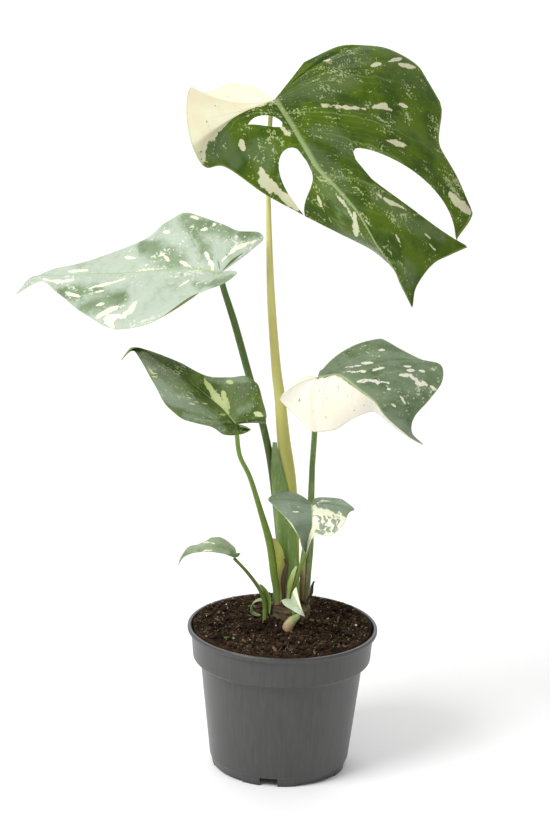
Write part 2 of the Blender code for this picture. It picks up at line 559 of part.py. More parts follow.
def stalk_line(name):
    """Dense centres and radii of a stalk, from just behind its leaf to its foot."""
    stalk = STALKS[name]
    leaf = LEAVES[stalk["leaf"]]
    face = leaf_axes(leaf)[2]
    radius = stalk["route"][0][3]
    behind = (leaf.get("thickness", BLADE_THICKNESS) / 2 + GAP) / plant_scale + stalk["below"] * radius
    x, y, height, last_radius = stalk["route"][-1]
    if stalk.get("planted"):
        foot = (mix_top - crown_top) / plant_scale - PLANTED_DEPTH
    else:
        foot = GAP / plant_scale
    top = (*(np.array(leaf["joint"]) - behind * face), radius)
    knots = [top] + list(stalk["route"]) + [(x, y, foot, last_radius)]
    dense = path(knots, np.linspace(0, 1, 2 * len(knots) + 5))
    return in_plant(dense[:, :3]), dense[:, 3] * plant_scale


def make_sheath(name, sheath):
    """A shell round a stalk, between two angles that change with height, each edge able to flare."""
    centres, radii = stalk_line(sheath["stalk"])
    rows = path(sheath["rows"], np.linspace(0, 1, 2 * len(sheath["rows"])))
    share = np.linspace(0, 1, 9)
    points = []
    for height, first, last, flare_first, flare_last in rows:
        z = crown_top + plant_scale * height
        x, y, radius = (np.interp(z, centres[::-1, 2], values[::-1])
                        for values in (centres[:, 0], centres[:, 1], radii))
        angle = np.radians(first + (last - first) * share)
        away = radius * sheath.get("slant", 1.1) + GAP + SHEATH_THICKNESS / 2
        away = away + plant_scale * (flare_first * (1 - share) ** 2 + flare_last * share**2)
        points.append(np.stack([x + away * np.cos(angle), y + away * np.sin(angle), np.full(9, z)], axis=1))
    thing = add(name, np.array(points).reshape(-1, 3), grid_faces(len(points), 9), (0.2, 0.3, 0.06))
    thicken(thing, SHEATH_THICKNESS)


def make_scrap(name, scrap, grown=0.0):
    line = path(scrap["route"], np.linspace(0, 1, 3 * len(scrap["route"])))
    line[:, 3] += 2 * grown / plant_scale
    line[-1, 2] -= grown / plant_scale
    across = np.array(scrap["across"]) / np.linalg.norm(scrap["across"])
    share = np.linspace(-0.5, 0.5, 5)
    points = line[:, None, :3] + share[None, :, None] * line[:, None, 3:] * across
    thing = add(name, in_plant(points).reshape(-1, 3), grid_faces(len(line), 5), (0.1, 0.06, 0.03))
    thicken(thing, SCRAP_THICKNESS + 2 * grown)
    return thing


# ---- building ----

for thing in list(bpy.data.objects):
    bpy.data.objects.remove(thing, do_unlink=True)
frame = bpy.data.objects.new("part_frame", None)
bpy.context.scene.collection.objects.link(frame)
frame.location = (POT_AXIS[0] * MM, POT_AXIS[1] * MM, 0)

make_pot()
mix = make_mix()
rings_to_solid("crown_stem", crown_rings(0), (0.2, 0.12, 0.06), 0.8)
cut(mix, rings_to_solid("crown_pocket", crown_rings(GAP), (0.1, 0.1, 0.1)))
for name, leaf in LEAVES.items():
    make_leaf(name, leaf)
for name, stalk in STALKS.items():
    centres, radii = stalk_line(name)
    tube(name, centres, radii, stalk.get("colour", (0.1, 0.25, 0.04)), round_start=True)
    if stalk.get("planted"):
        lower = centres[-12:].copy()
        lower[-1, 2] -= GAP
        cut(mix, tube(name + "_pocket", lower, radii[-12:] + GAP, (0.1, 0.1, 0.1)))
for name, sheath in SHEATHS.items():
    make_sheath(name, sheath)
for name, scrap in SCRAPS.items():
    make_scrap(name, scrap)
cut(mix, make_scrap("leaflet_pocket", SCRAPS["curled_leaflet"], GAP))
shoot = path(SHOOT, np.linspace(0, 1, 12))
centres, radii = in_plant(shoot[:, :3]), shoot[:, 3] * plant_scale
tube("side_shoot", centres, radii, (0.3, 0.4, 0.15), round_start=True)
centres[-1, 2] -= GAP
cut(mix, tube("shoot_pocket", centres, radii + GAP, (0.1, 0.1, 0.1)))
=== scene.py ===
import bmesh
import bpy
import math
import numpy as np
from mathutils import Matrix, Vector


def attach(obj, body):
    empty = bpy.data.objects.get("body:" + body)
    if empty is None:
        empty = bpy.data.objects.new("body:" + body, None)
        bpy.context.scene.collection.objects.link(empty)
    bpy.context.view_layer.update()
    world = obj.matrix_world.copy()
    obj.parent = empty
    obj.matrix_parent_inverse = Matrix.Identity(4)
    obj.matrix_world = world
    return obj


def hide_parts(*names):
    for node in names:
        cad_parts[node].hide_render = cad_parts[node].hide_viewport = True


# A young variegated monstera in a round nursery pot. Lengths are in millimetres until a mesh is
# made, and heights of the plant are measured from the top of its crown.
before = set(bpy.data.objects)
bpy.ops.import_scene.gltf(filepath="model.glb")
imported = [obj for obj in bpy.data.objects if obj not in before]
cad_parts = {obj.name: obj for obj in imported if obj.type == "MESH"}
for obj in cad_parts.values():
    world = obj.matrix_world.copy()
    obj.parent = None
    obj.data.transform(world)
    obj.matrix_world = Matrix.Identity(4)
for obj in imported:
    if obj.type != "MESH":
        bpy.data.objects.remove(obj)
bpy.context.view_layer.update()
scene = bpy.context.scene
mm = 0.001
potAxis = np.array([46.2, 0.2, 0.0])


def unit(vector):
    return vector / np.linalg.norm(vector, axis=-1, keepdims=True)


# A curve through values at knots: cubic spans whose slope is the weighted mean of the two
# neighbouring slopes, and zero where the values turn.
def smooth(knots, values, at):
    knots, values, at = (np.asarray(x, float) for x in (knots, values, at))
    step = np.diff(knots)
    rise = np.diff(values) / step
    slope = np.zeros(len(knots))
    slope[1:-1] = (rise[:-1] * step[1:] + rise[1:] * step[:-1]) / (step[:-1] + step[1:])
    slope[1:-1][rise[:-1] * rise[1:] <= 0] = 0
    slope[0], slope[-1] = rise[0], rise[-1]
    i = np.clip(np.searchsorted(knots, at, side="right") - 1, 0, len(knots) - 2)
    s = (at - knots[i]) / step[i]
    return ((2 * s**3 - 3 * s**2 + 1) * values[i] + (s**3 - 2 * s**2 + s) * step[i] * slope[i]
            + (3 * s**2 - 2 * s**3) * values[i + 1] + (s**3 - s**2) * step[i] * slope[i + 1])


# The same curve for points, at shares of the number of spans.
def pathThrough(points, at):
    points = np.asarray(points, float)
    knots = np.linspace(0, 1, len(points))
    return np.stack([smooth(knots, column, at) for column in points.T], axis=-1)


# Random heights on a lattice, blended by a smoothstep between lattice points.
def latticeNoise(x, y, size, seed, cells=97):
    table = np.random.default_rng(seed).uniform(-1, 1, (cells, cells))
    gx, gy = np.asarray(x) / size, np.asarray(y) / size
    ix, iy = np.floor(gx).astype(int), np.floor(gy).astype(int)
    fx, fy = gx - ix, gy - iy
    fx, fy = fx * fx * (3 - 2 * fx), fy * fy * (3 - 2 * fy)
    near, far = [table[ix % cells, row] * (1 - fx) + table[(ix + 1) % cells, row] * fx
                 for row in (iy % cells, (iy + 1) % cells)]
    return near * (1 - fy) + far * fy


# Quads of a grid whose points are numbered row by row, round the columns if closed.
def gridFaces(rows, columns, closed=False):
    r, c = np.meshgrid(np.arange(rows - 1), np.arange(columns if closed else columns - 1), indexing="ij")
    r, c = r.ravel(), c.ravel()
    n = (c + 1) % columns
    return np.stack([r * columns + c, r * columns + n, (r + 1) * columns + n, (r + 1) * columns + c], axis=1)


# Two shares for each point of a grid: round or across it, and along it.
def gridMap(across, rows):
    return np.stack([grid.ravel() for grid in np.meshgrid(across, np.linspace(0, 1, rows))], axis=1)


# One finished piece from points in millimetres about the pot's axis. uv holds two shares per point,
# and each of the layers is one value per point.
def makePiece(name, points, faces, materials, node, slot, uv=None, layers=None, weld=0.0, smoothed=True):
    points = (np.asarray(points, float).reshape(-1, 3) + potAxis) * mm
    mesh = bpy.data.meshes.new(name)
    mesh.from_pydata(points.tolist(), [], faces)
    if uv is not None:
        corners = np.empty(len(mesh.loops), np.int32)
        mesh.loops.foreach_get("vertex_index", corners)
        surface = mesh.uv_layers.new(name="surface")
        surface.data.foreach_set("uv", np.asarray(uv, np.float32)[corners].ravel())
    for layer, values in (layers or {}).items():
        attribute = mesh.attributes.new(layer, "FLOAT", "POINT")
        attribute.data.foreach_set("value", np.asarray(values, np.float32))
    if weld:
        work = bmesh.new()
        work.from_mesh(mesh)
        bmesh.ops.remove_doubles(work, verts=work.verts, dist=weld * mm)
        work.to_mesh(mesh)
        work.free()
    if smoothed:
        mesh.polygons.foreach_set("use_smooth", np.ones(len(mesh.polygons), bool))
    for material in materials:
        mesh.materials.append(material)
    mesh.update()
    piece = bpy.data.objects.new(name, mesh)
    scene.collection.objects.link(piece)
    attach(piece, "root")
    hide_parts(node)
    return piece


# Rings of points joined into one closed body, with a fan of the last ring's centre at each end.
def makeRings(name, rings, material, **words):
    rows, columns = rings.shape[:2]
    points = np.vstack([rings.reshape(-1, 3), rings[0].mean(axis=0), rings[-1].mean(axis=0)])
    c = np.arange(columns)
    n = (c + 1) % columns
    first, last, lastRow = rows * columns, rows * columns + 1, (rows - 1) * columns
    faces = gridFaces(rows, columns, closed=True).tolist()
    faces += np.stack([0 * c + first, n, c], axis=1).tolist()
    faces += np.stack([0 * c + last, lastRow + c, lastRow + n], axis=1).tolist()
    uv = np.vstack([gridMap(c / columns, rows), [[0, 0], [0, 1]]])
    return makePiece(name, points, faces, [material], uv=uv, **words)


# A sheet given a thickness, half to each side. Its lower face may take another material.
def thicken(piece, thickness, under=0):
    shell = piece.modifiers.new("thickness", "SOLIDIFY")
    shell.thickness, shell.offset, shell.material_offset = thickness * mm, 0, under


# A sheet from rows of points, with a thickness.
def makeStrip(name, points, across, material, thickness, **words):
    rows, columns = points.shape[:2]
    faces = gridFaces(rows, columns).tolist()
    piece = makePiece(name, points, faces, [material], uv=gridMap(across, rows), **words)
    thicken(piece, thickness)


# A round stalk: circles of each radius, square to the line of centres. Its first end is domed, by
# circles that draw in over one radius.
def tubeRings(centres, radii, sides):
    dome = np.radians([80, 60, 40, 20])
    away = unit(centres[0] - centres[1])
    centres = np.vstack([centres[0] + 0.9 * radii[0] * np.sin(dome)[:, None] * away, centres])
    radii = np.concatenate([radii[0] * np.cos(dome), radii])
    tangent = unit(np.gradient(centres, axis=0))
    side = unit(np.cross(tangent, (0.0, 1.0, 0.0)))
    other = np.cross(tangent, side)
    turn = np.linspace(0, 2 * np.pi, sides, endpoint=False)
    return (centres[:, None] + radii[:, None, None]
            * (np.cos(turn)[None, :, None] * side[:, None] + np.sin(turn)[None, :, None] * other[:, None]))


# A value in a shader tree. Sums, differences and products of wires add the math nodes for them.
class Wire:
    def __init__(self, tree, socket):
        self.tree, self.socket = tree, socket

    def work(self, operation, first, second=0.0):
        node = addNode(self.tree, "Math", {0: first, 1: second}, operation=operation)
        return Wire(self.tree, node.outputs[0])

    def __add__(self, other):
        return self.work("ADD", self, other)

    def __sub__(self, other):
        return self.work("SUBTRACT", self, other)

    def __rsub__(self, other):
        return self.work("SUBTRACT", other, self)

    def __mul__(self, other):
        return self.work("MULTIPLY", self, other)

    def __abs__(self):
        return self.work("ABSOLUTE", self)

    def fraction(self):
        return self.work("FRACT", self)

    def clamped(self):
        self.socket.node.use_clamp = True
        return self


# Links a wire or an output to a socket, or sets the socket to a constant. A colour gets its alpha.
def plug(tree, value, socket):
    value = value.socket if isinstance(value, Wire) else value
    if isinstance(value, bpy.types.NodeSocket):
        tree.links.new(value, socket)
    else:
        socket.default_value = (*value, 1.0) if socket.type == "RGBA" and len(value) == 3 else value


def addNode(tree, kind, inputs=None, **settings):
    node = tree.nodes.new("ShaderNode" + kind)
    for key, value in settings.items():
        setattr(node, key, value)
    for key, value in (inputs or {}).items():
        plug(tree, value, node.inputs[key])
    return node


# A node group whose inputs and outputs are all values: its tree, its inputs as wires, and its outputs.
def newGroup(name, inputs, outputs):
    group = bpy.data.node_groups.new(name, "ShaderNodeTree")
    for label, default in inputs.items():
        socket = group.interface.new_socket(label, in_out="INPUT", socket_type="NodeSocketFloat")
        socket.default_value = default
    for label in outputs:
        group.interface.new_socket(label, in_out="OUTPUT", socket_type="NodeSocketFloat")
    inlet, outlet = group.nodes.new("NodeGroupInput"), group.nodes.new("NodeGroupOutput")
    return group, {label: Wire(group, inlet.outputs[label]) for label in inputs}, outlet.inputs


def useGroup(tree, group, **inputs):
    node = addNode(tree, "Group", node_tree=group)
    for key, value in inputs.items():
        plug(tree, value, node.inputs[key])
    return {socket.name: Wire(tree, socket) for socket in node.outputs}


def objectPlace(tree):
    return addNode(tree, "TexCoord").outputs["Object"]


def surfaceMap(tree):
    return addNode(tree, "UVMap", uv_map="surface").outputs[0]


# The two shares of the surface map as wires.
def surfaceShares(tree, uv):
    return [Wire(tree, socket) for socket in addNode(tree, "SeparateXYZ", {0: uv}).outputs[:2]]


def painted(tree, layer):
    return Wire(tree, addNode(tree, "Attribute", attribute_name=layer).outputs["Fac"])


def mixColour(tree, factor, first, second):
    return addNode(tree, "Mix", {0: factor, 6: first, 7: second}, data_type="RGBA").outputs[2]


# A soft step: 0 below low, 1 above high, or the other way round where low is the greater.
def softStep(tree, value, low, high):
    inputs = {"Value": value, "From Min": low, "From Max": high}
    return Wire(tree, addNode(tree, "MapRange", inputs, interpolation_type="SMOOTHSTEP").outputs["Result"])


# A value brought from one range straight to another.
def spread(tree, value, low, high, newLow, newHigh):
    inputs = {"Value": value, "From Min": low, "From Max": high, "To Min": newLow, "To Max": newHigh}
    return Wire(tree, addNode(tree, "MapRange", inputs).outputs["Result"])


# Noise on stretched and shifted coordinates, in four dimensions where a seed is given.
def noiseValue(tree, vector, scale, stretch=(1, 1, 1), shift=(0, 0, 0), detail=4, roughness=0.55, seed=None):
    mapped = addNode(tree, "Mapping", {"Vector": vector, "Scale": stretch, "Location": shift}).outputs[0]
    inputs = {"Vector": mapped, "Scale": scale, "Detail": detail, "Roughness": roughness}
    noise = addNode(tree, "TexNoise", inputs, noise_dimensions="3D" if seed is None else "4D")
    if seed is not None:
        plug(tree, seed, noise.inputs["W"])
    return Wire(tree, noise.outputs["Fac"])


def newMaterial(name, **shaderValues):
    material = bpy.data.materials.new(name)
    material.use_nodes = True
    tree = material.node_tree
    shader = tree.nodes["Principled BSDF"]
    for key, value in shaderValues.items():
        shader.inputs[key].default_value = value
    return material, tree, shader


def finishShader(tree, shader, colour, height, bumpDistance, bumpStrength, roughness=None):
    plug(tree, colour, shader.inputs["Base Color"])
    if roughness is not None:
        plug(tree, roughness, shader.inputs["Roughness"])
    bump = addNode(tree, "Bump", {"Height": height, "Distance": bumpDistance, "Strength": bumpStrength})
    plug(tree, bump.outputs[0], shader.inputs["Normal"])


# Light that passes a little way into green tissue.
def addGlow(shader, weight, redReach):
    shader.inputs["Subsurface Weight"].default_value = weight
    shader.inputs["Subsurface Radius"].default_value = (redReach, 1.0, 0.3)
    shader.inputs["Subsurface Scale"].default_value = 0.002


pot = dict(rimRadius=85.0, height=130.7, wall=1.4, lipOverhang=3.5, lipHeight=4.2, bandHeight=28.0,
           bandDraft=1.8, shoulder=6.9, bodyTaper=10.3, footHeight=8.3, footInset=2.6, footWall=2.4,
           padHeight=1.2, notches=4, notchWidth=16.0, padWidth=17.0, firstNotch=-98.0, drainHoles=6,
           drainRadius=6.0, drainRing=36.0, drainSides=32, sides=240, dark=(0.036, 0.036, 0.0355),
           pale=(0.064, 0.064, 0.063))
pot["band"] = pot["rimRadius"] - pot["lipOverhang"]
pot["bandFoot"] = pot["band"] - pot["bandDraft"]
pot["bodyTop"] = pot["bandFoot"] - pot["shoulder"]
pot["bodyBase"] = pot["bodyTop"] - pot["bodyTaper"]
pot["foot"] = pot["bodyBase"] - pot["footInset"]
pot["bandFootHeight"] = pot["height"] - pot["bandHeight"]
pot["baseTop"] = pot["footHeight"] + pot["wall"] + 0.8
pot["notchAngle"] = math.degrees(pot["notchWidth"] / 2 / pot["foot"])
pot["padAngle"] = pot["notchAngle"] + math.degrees(pot["padWidth"] / pot["foot"])
print("pot")


# Grey moulded plastic: fine upright streaks of painted sheen in its colour, and a faint orange-peel skin.
def makePotPlastic():
    material, tree, shader = newMaterial("potPlastic")
    place = objectPlace(tree)
    # Painted sheen: the upright streaks make the colour paler where they run, mixed with a random tone.
    streaks = noiseValue(tree, place, 60, stretch=(6, 6, 0.35), detail=5)
    tone = streaks * 0.55 + noiseValue(tree, place, 14, detail=3) * 0.45
    ramp = addNode(tree, "ValToRGB", {"Fac": tone})
    for element, position, colour in zip(ramp.color_ramp.elements, (0.3, 0.75), (pot["dark"], pot["pale"])):
        element.position, element.color = position, (*colour, 1)
    height = streaks * 0.4 + noiseValue(tree, place, 900, detail=2) * 0.3
    rough = spread(tree, tone, 0.3, 0.7, 0.3, 0.44)
    finishShader(tree, shader, ramp.outputs["Color"], height, 0.0002, 0.5, rough)
    return material


# Each corner of a profile is rounded by a quadratic curve between points a radius away from it.
def roundedProfile(corners, radii, steps=5):
    corners = np.array(corners, float)
    rounded = [corners[0]]
    for before, corner, after, radius in zip(corners[:-2], corners[1:-1], corners[2:], radii):
        if radius == 0:
            rounded.append(corner)
            continue
        start, end = [corner + (other - corner) * min(0.45, radius / np.linalg.norm(other - corner))
                      for other in (before, after)]
        t = np.linspace(0, 1, steps)[:, None]
        rounded += list((1 - t) ** 2 * start + 2 * t * (1 - t) * corner + t**2 * end)
    return np.array(rounded + [corners[-1]])


# The height of the foot ring's edge at each angle: high in a notch, zero on the pads beside it.
def footEdge(angle):
    apart = np.abs((angle - pot["firstNotch"] + 45) % 90 - 45)
    return np.where(apart < pot["notchAngle"], pot["footHeight"] - 0.8,
                    np.where(apart < pot["padAngle"], 0.0, pot["padHeight"]))


# Angles round the pot, even but for pairs close to each side of a notch, which make it upright.
def potAngles():
    notch, pad = pot["notchAngle"], pot["padAngle"]
    even = np.arange(0, 360, 360 / pot["sides"])
    edges = np.array([pot["firstNotch"] + 90 * n + half for n in range(pot["notches"])
                      for half in (-pad, -notch, notch, pad)])
    near = np.abs((even[:, None] - edges + 180) % 360 - 180).min(axis=1) < 0.4
    return np.sort(np.concatenate([even[~near], (edges - 0.12) % 360, (edges + 0.12) % 360]))


# The pot's section as (radius, height, corner radius), from the middle of its underside out and up
# over the lip, and down inside to the middle of the base. A height of -1 stands for the foot's edge.
def potSection():
    p, w = pot, pot["wall"]
    body, lip, shelf = p["bodyTop"] - w, p["height"] - p["lipHeight"], p["bandFootHeight"]
    return [(0.01, p["footHeight"] + 0.8, 0), (p["foot"] - p["footWall"], p["footHeight"] + 0.8, 0),
            (p["foot"] - p["footWall"], -1, 0), (p["foot"], -1, 0),
            (p["bodyBase"] - 0.7, p["footHeight"], 0.4), (p["bodyBase"], p["footHeight"] + 0.8, 0.6),
            (p["bodyTop"], shelf - 3.9, 2.2), (p["bandFoot"] - 0.3, shelf - 1.3, 2.2),
            (p["bandFoot"], shelf + 1.5, 1.6), (p["band"], lip - 0.4, 1.2),
            (p["rimRadius"] - 0.2, lip + 0.1, 1.0), (p["rimRadius"], p["height"] - 0.6, 1.6),
            (p["rimRadius"] - 1.9, p["height"] + 0.2, 1.2), (p["rimRadius"] - 3.2, p["height"] - 0.2, 1.2),
            (p["band"] - w, lip, 1.5), (p["bandFoot"] - w, shelf + 2, 1.5), (body + 5, shelf - 1.5, 1.5),
            (body, shelf - 3.5, 1.5), (p["bodyBase"] - w, p["baseTop"] + 1, 0.6),
            (p["bodyBase"] - w - 1, p["baseTop"], 0.5), (0.01, p["baseTop"], 0)]


# The section turned about the pot's axis, with the drain holes cut through its base.
def makePot():
    angles, section = potAngles(), np.array(potSection())
    turn = np.radians(angles)
    profile = roundedProfile(section[:, :2], section[1:-1, 2])
    height = np.where(profile[:, 1:] < 0, footEdge(angles)[None], profile[:, 1:]).clip(0, pot["height"])
    rings = np.stack([profile[:, :1] * np.cos(turn), profile[:, :1] * np.sin(turn), height], axis=2)
    piece = makeRings("nurseryPot", rings[::-1, ::-1], makePotPlastic(), node="pot", slot="pot")
    cutter = makeDrainCutter()
    bpy.context.view_layer.objects.active = piece
    bore = piece.modifiers.new("drains", "BOOLEAN")
    bore.object, bore.solver = cutter, "EXACT"
    bpy.ops.object.modifier_apply(modifier="drains")
    bpy.data.objects.remove(cutter)


# One upright cylinder for each drain hole.
def makeDrainCutter():
    sides = pot["drainSides"]
    around = np.linspace(0, 2 * np.pi, sides, endpoint=False)
    work = bmesh.new()
    for n in range(pot["drainHoles"]):
        at = 2 * np.pi * (n + 0.5) / pot["drainHoles"]
        x = pot["drainRing"] * np.cos(at) + pot["drainRadius"] * np.cos(around)
        y = pot["drainRing"] * np.sin(at) + pot["drainRadius"] * np.sin(around)
        rings = [(np.stack([x, y, 0 * x + z], axis=1) + potAxis) * mm
                 for z in (pot["footHeight"] - 3, pot["baseTop"] + 3)]
        lower, upper = [[work.verts.new(corner) for corner in ring.tolist()] for ring in rings]
        for k in range(sides):
            work.faces.new((lower[k], lower[(k + 1) % sides], upper[(k + 1) % sides], upper[k]))
        work.faces.new(lower[::-1])
        work.faces.new(upper)
    mesh = bpy.data.meshes.new("drainCutter")
    work.to_mesh(mesh)
    work.free()
    cutter = bpy.data.objects.new("drainCutter", mesh)
    scene.collection.objects.link(cutter)
    return cutter


makePot()

mix = dict(belowRim=4.5, mound=8.0, lump=1.1, wallGap=0.6, crownX=6.0, crownY=3.0, skirt=10.0, bank=5.0,
           sides=420, rings=105, innerRings=12)
print("potting mix")


# The solid's gentle mound, a bell shape round the crown with long waves, and on it a skirt of loose
# peat against the crown and a bank against the wall.
def mixHeight(x, y):
    east, north = x - mix["crownX"], y - mix["crownY"]
    reach = np.hypot(east, north) / (0.5 * pot["rimRadius"])
    lumps = np.sin(0.31 * x + 1.3) * np.cos(0.27 * y - 0.4) + 0.6 * np.sin(0.17 * x - 0.23 * y + 2.1)
    skirt = mix["skirt"] * np.exp(-0.8 * ((east / 22) ** 2 + (north / 18) ** 2))
    bank = mix["bank"] * np.clip((np.hypot(x, y) / pot["bandFoot"] - 0.72) / 0.2, 0, 1)
    return (pot["height"] - mix["belowRim"] + mix["mound"] * np.exp(-reach**2) + mix["lump"] * lumps / 1.6
            + skirt + bank)


# Crumbly roughness: lattice noise at four sizes, the middle ones folded so that they read as crumbs.
def crumbs(x, y):
    return (1.3 * latticeNoise(x, y, 7, 3) + 1.1 * np.abs(latticeNoise(x, y, 3.6, 4))
            + 0.9 * np.abs(latticeNoise(x + 31, y, 1.9, 5)) + 0.35 * latticeNoise(x, y + 17, 1.1, 6) - 1.0)


# Peat: brown mottled fine and coarse, each bit in its own tone, with damp dark patches.
def makePeat(brown=(0.024, 0.013, 0.007), pale=(0.085, 0.05, 0.026), damp=(0.016, 0.009, 0.006)):
    material, tree, shader = newMaterial("peat", **{"Roughness": 0.93, "Specular IOR Level": 0.12})
    place = objectPlace(tree)
    coarse = noiseValue(tree, place, 130, detail=6, roughness=0.65)
    fine = noiseValue(tree, place, 700, detail=5, roughness=0.7)
    tone = coarse * (fine + 0.5) + painted(tree, "tone") * 0.5
    colour = mixColour(tree, softStep(tree, tone, 0.35, 0.95), brown, pale)
    wet = softStep(tree, noiseValue(tree, place, 45, detail=2), 0.45, 0.7)
    finishShader(tree, shader, mixColour(tree, wet, colour, damp), fine, 0.0009, 0.9)
    return material


# Small hard or mossy bits: two colours mottled, each bit in its own tone.
def makeBitMaterial(name, dark, pale, roughness=0.85):
    material, tree, shader = newMaterial(name, Roughness=roughness)
    grain = noiseValue(tree, objectPlace(tree), 900, detail=4)
    tone = grain * 0.5 + painted(tree, "tone") * 0.6
    colour = mixColour(tree, softStep(tree, tone, 0.2, 0.9), dark, pale)
    finishShader(tree, shader, colour, grain, 0.0004, 0.5)
    return material


# A disc in rings under the crumbs, closed down the wall and across the base.
def makeMix():
    turn = np.linspace(0, 2 * np.pi, mix["sides"], endpoint=False)
    inside = pot["wall"] + mix["wallGap"]
    top, shelf = pot["band"] - pot["wall"] - 0.5, pot["bandFootHeight"]
    wall = [(0.01, pot["baseTop"] + 0.3), (pot["bodyBase"] - inside - 1, pot["baseTop"] + 0.3),
            (pot["bodyBase"] - inside, pot["baseTop"] + 1.6), (pot["bodyTop"] - inside, shelf - 3.5),
            (pot["bodyTop"] - inside + 4.4, shelf - 1.2), (pot["bandFoot"] - inside, shelf + 2.6)]
    rings = [np.stack([r * np.cos(turn), r * np.sin(turn), 0 * turn + z], axis=1) for r, z in wall]
    shares = np.concatenate([np.linspace(1, 0.2, mix["rings"]), np.linspace(0.19, 0.005, mix["innerRings"])])
    for share in shares:
        x, y = share * top * np.cos(turn), share * top * np.sin(turn)
        rough = crumbs(x, y) * np.clip((1 - share) * 30 + 0.25, 0, 1)
        rings.append(np.stack([x, y, mixHeight(x, y) + rough], axis=1))
    makeRings("pottingMix", np.array(rings), peat, node="potting_mix", slot="potting_mix")


# Loose bits: one icosahedron, knocked out of shape, turned, stretched and set down many times. Its
# width is between the two sizes, and none lies within keepOff of the crown.
def scatterBits(name, material, count, sizes, stretch, seed, lift=0.3, tones=(0, 1), keepOff=16, fine=False):
    rng = np.random.default_rng(seed)
    work = bmesh.new()
    bmesh.ops.create_icosphere(work, subdivisions=2 if fine else 1, radius=1)
    ball = np.array([v.co for v in work.verts])
    shape = np.array([[v.index for v in f.verts] for f in work.faces])
    work.free()
    edge = pot["band"] - pot["wall"] - 2.5
    radius = edge * np.sqrt(rng.uniform(0, 1, 4 * count))
    at = rng.uniform(0, 2 * np.pi, 4 * count)
    x, y = radius * np.cos(at), radius * np.sin(at)
    clear = ((x - mix["crownX"]) / (keepOff + 4)) ** 2 + ((y - mix["crownY"]) / keepOff) ** 2 > 1
    x, y = x[clear][:count], y[clear][:count]
    count = len(x)
    size = sizes[0] * (sizes[1] / sizes[0]) ** rng.uniform(0, 1, count)
    size = np.minimum(size, 0.7 * (edge + 2 - np.hypot(x, y)) + 0.6)
    knocked = ball[None] * rng.uniform(0.72, 1.2, (count, len(ball), 1)) * np.array(stretch)
    axis = unit(rng.normal(0, 1, (count, 3)) * np.array([0.35, 0.35, 1]))[:, None, :]
    angle = rng.uniform(0, 2 * np.pi, count)[:, None, None]
    sideways = np.cross(np.broadcast_to(axis, knocked.shape), knocked)
    turned = (knocked * np.cos(angle) + sideways * np.sin(angle)
              + axis * (knocked * axis).sum(axis=2, keepdims=True) * (1 - np.cos(angle)))
    place = np.stack([x, y, mixHeight(x, y) + crumbs(x, y) + lift * size * 0.6], axis=1)
    points = turned * size[:, None, None] / 2 + place[:, None]
    faces = shape[None] + (np.arange(count) * len(ball))[:, None, None]
    tone = np.repeat(rng.uniform(*tones, count), len(ball))
    makePiece(name, points, faces.reshape(-1, 3).tolist(), [material], "potting_mix", "potting_mix",
              layers={"tone": tone}, smoothed=False)


peat = makePeat()
barkChip = makeBitMaterial("barkChip", (0.04, 0.022, 0.012), (0.15, 0.095, 0.055))
perlite = makeBitMaterial("perlite", (0.5, 0.48, 0.43), (0.82, 0.8, 0.74), 0.7)
tanGrit = makeBitMaterial("tanGrit", (0.2, 0.13, 0.07), (0.5, 0.38, 0.24))
moss = makeBitMaterial("mossBits", (0.045, 0.06, 0.015), (0.16, 0.2, 0.05), 0.9)
makeMix()
scatterBits("peatCrumbs", peat, 3600, (1.3, 4.2), (1, 0.85, 0.7), 11, tones=(-0.4, 0.7), keepOff=13)
scatterBits("peatLumps", peat, 190, (4, 7.5), (1, 0.8, 0.6), 12, lift=0.5, tones=(-0.4, 0.5), fine=True)
scatterBits("barkChips", barkChip, 70, (2.2, 6), (1.5, 0.7, 0.35), 13, lift=0.9)
scatterBits("peatFibres", barkChip, 150, (2.5, 6.5), (1.6, 0.12, 0.12), 14, lift=1.2)
scatterBits("perlite", perlite, 16, (1.2, 2.8), (1, 0.9, 0.8), 15, lift=1.1, fine=True)
scatterBits("tanGrit", tanGrit, 150, (0.9, 2.2), (1, 0.8, 0.6), 16, lift=1.0)
scatterBits("mossBits", moss, 420, (0.9, 3.0), (1.3, 0.6, 0.5), 17, lift=0.9, keepOff=13)

# Each row is a height from the crown's top and the share of the full width there.
crown = dict(aboveMix=16.0, width=36.0, depth=28.0, sides=110, steps=46,
             rows=((-31, 0.8), (-21, 0.94), (-13, 1), (-11, 1.03), (-9, 0.97), (-6, 0.99), (-4, 1.02),
                   (-2.5, 0.97), (-0.8, 0.96), (0, 0.9)))
crownTop = pot["height"] - mix["belowRim"] + mix["mound"] + crown["aboveMix"]
print("crown")


# Ringed brown bark with green-brown patches.
def makeBark():
    material, tree, shader = newMaterial("crownBark", Roughness=0.8)
    place = objectPlace(tree)
    bands = noiseValue(tree, place, 90, stretch=(0.6, 0.6, 3), detail=6, roughness=0.65)
    colour = mixColour(tree, softStep(tree, bands, 0.35, 0.65), (0.04, 0.026, 0.012), (0.12, 0.085, 0.035))
    patches = softStep(tree, noiseValue(tree, place, 55, detail=2), 0.5, 0.62)
    height = bands + noiseValue(tree, place, 160, stretch=(3, 3, 0.5), detail=4) * 0.5
    finishShader(tree, shader, mixColour(tree, patches, colour, (0.16, 0.17, 0.05)), height, 0.0012, 0.8)
    return material


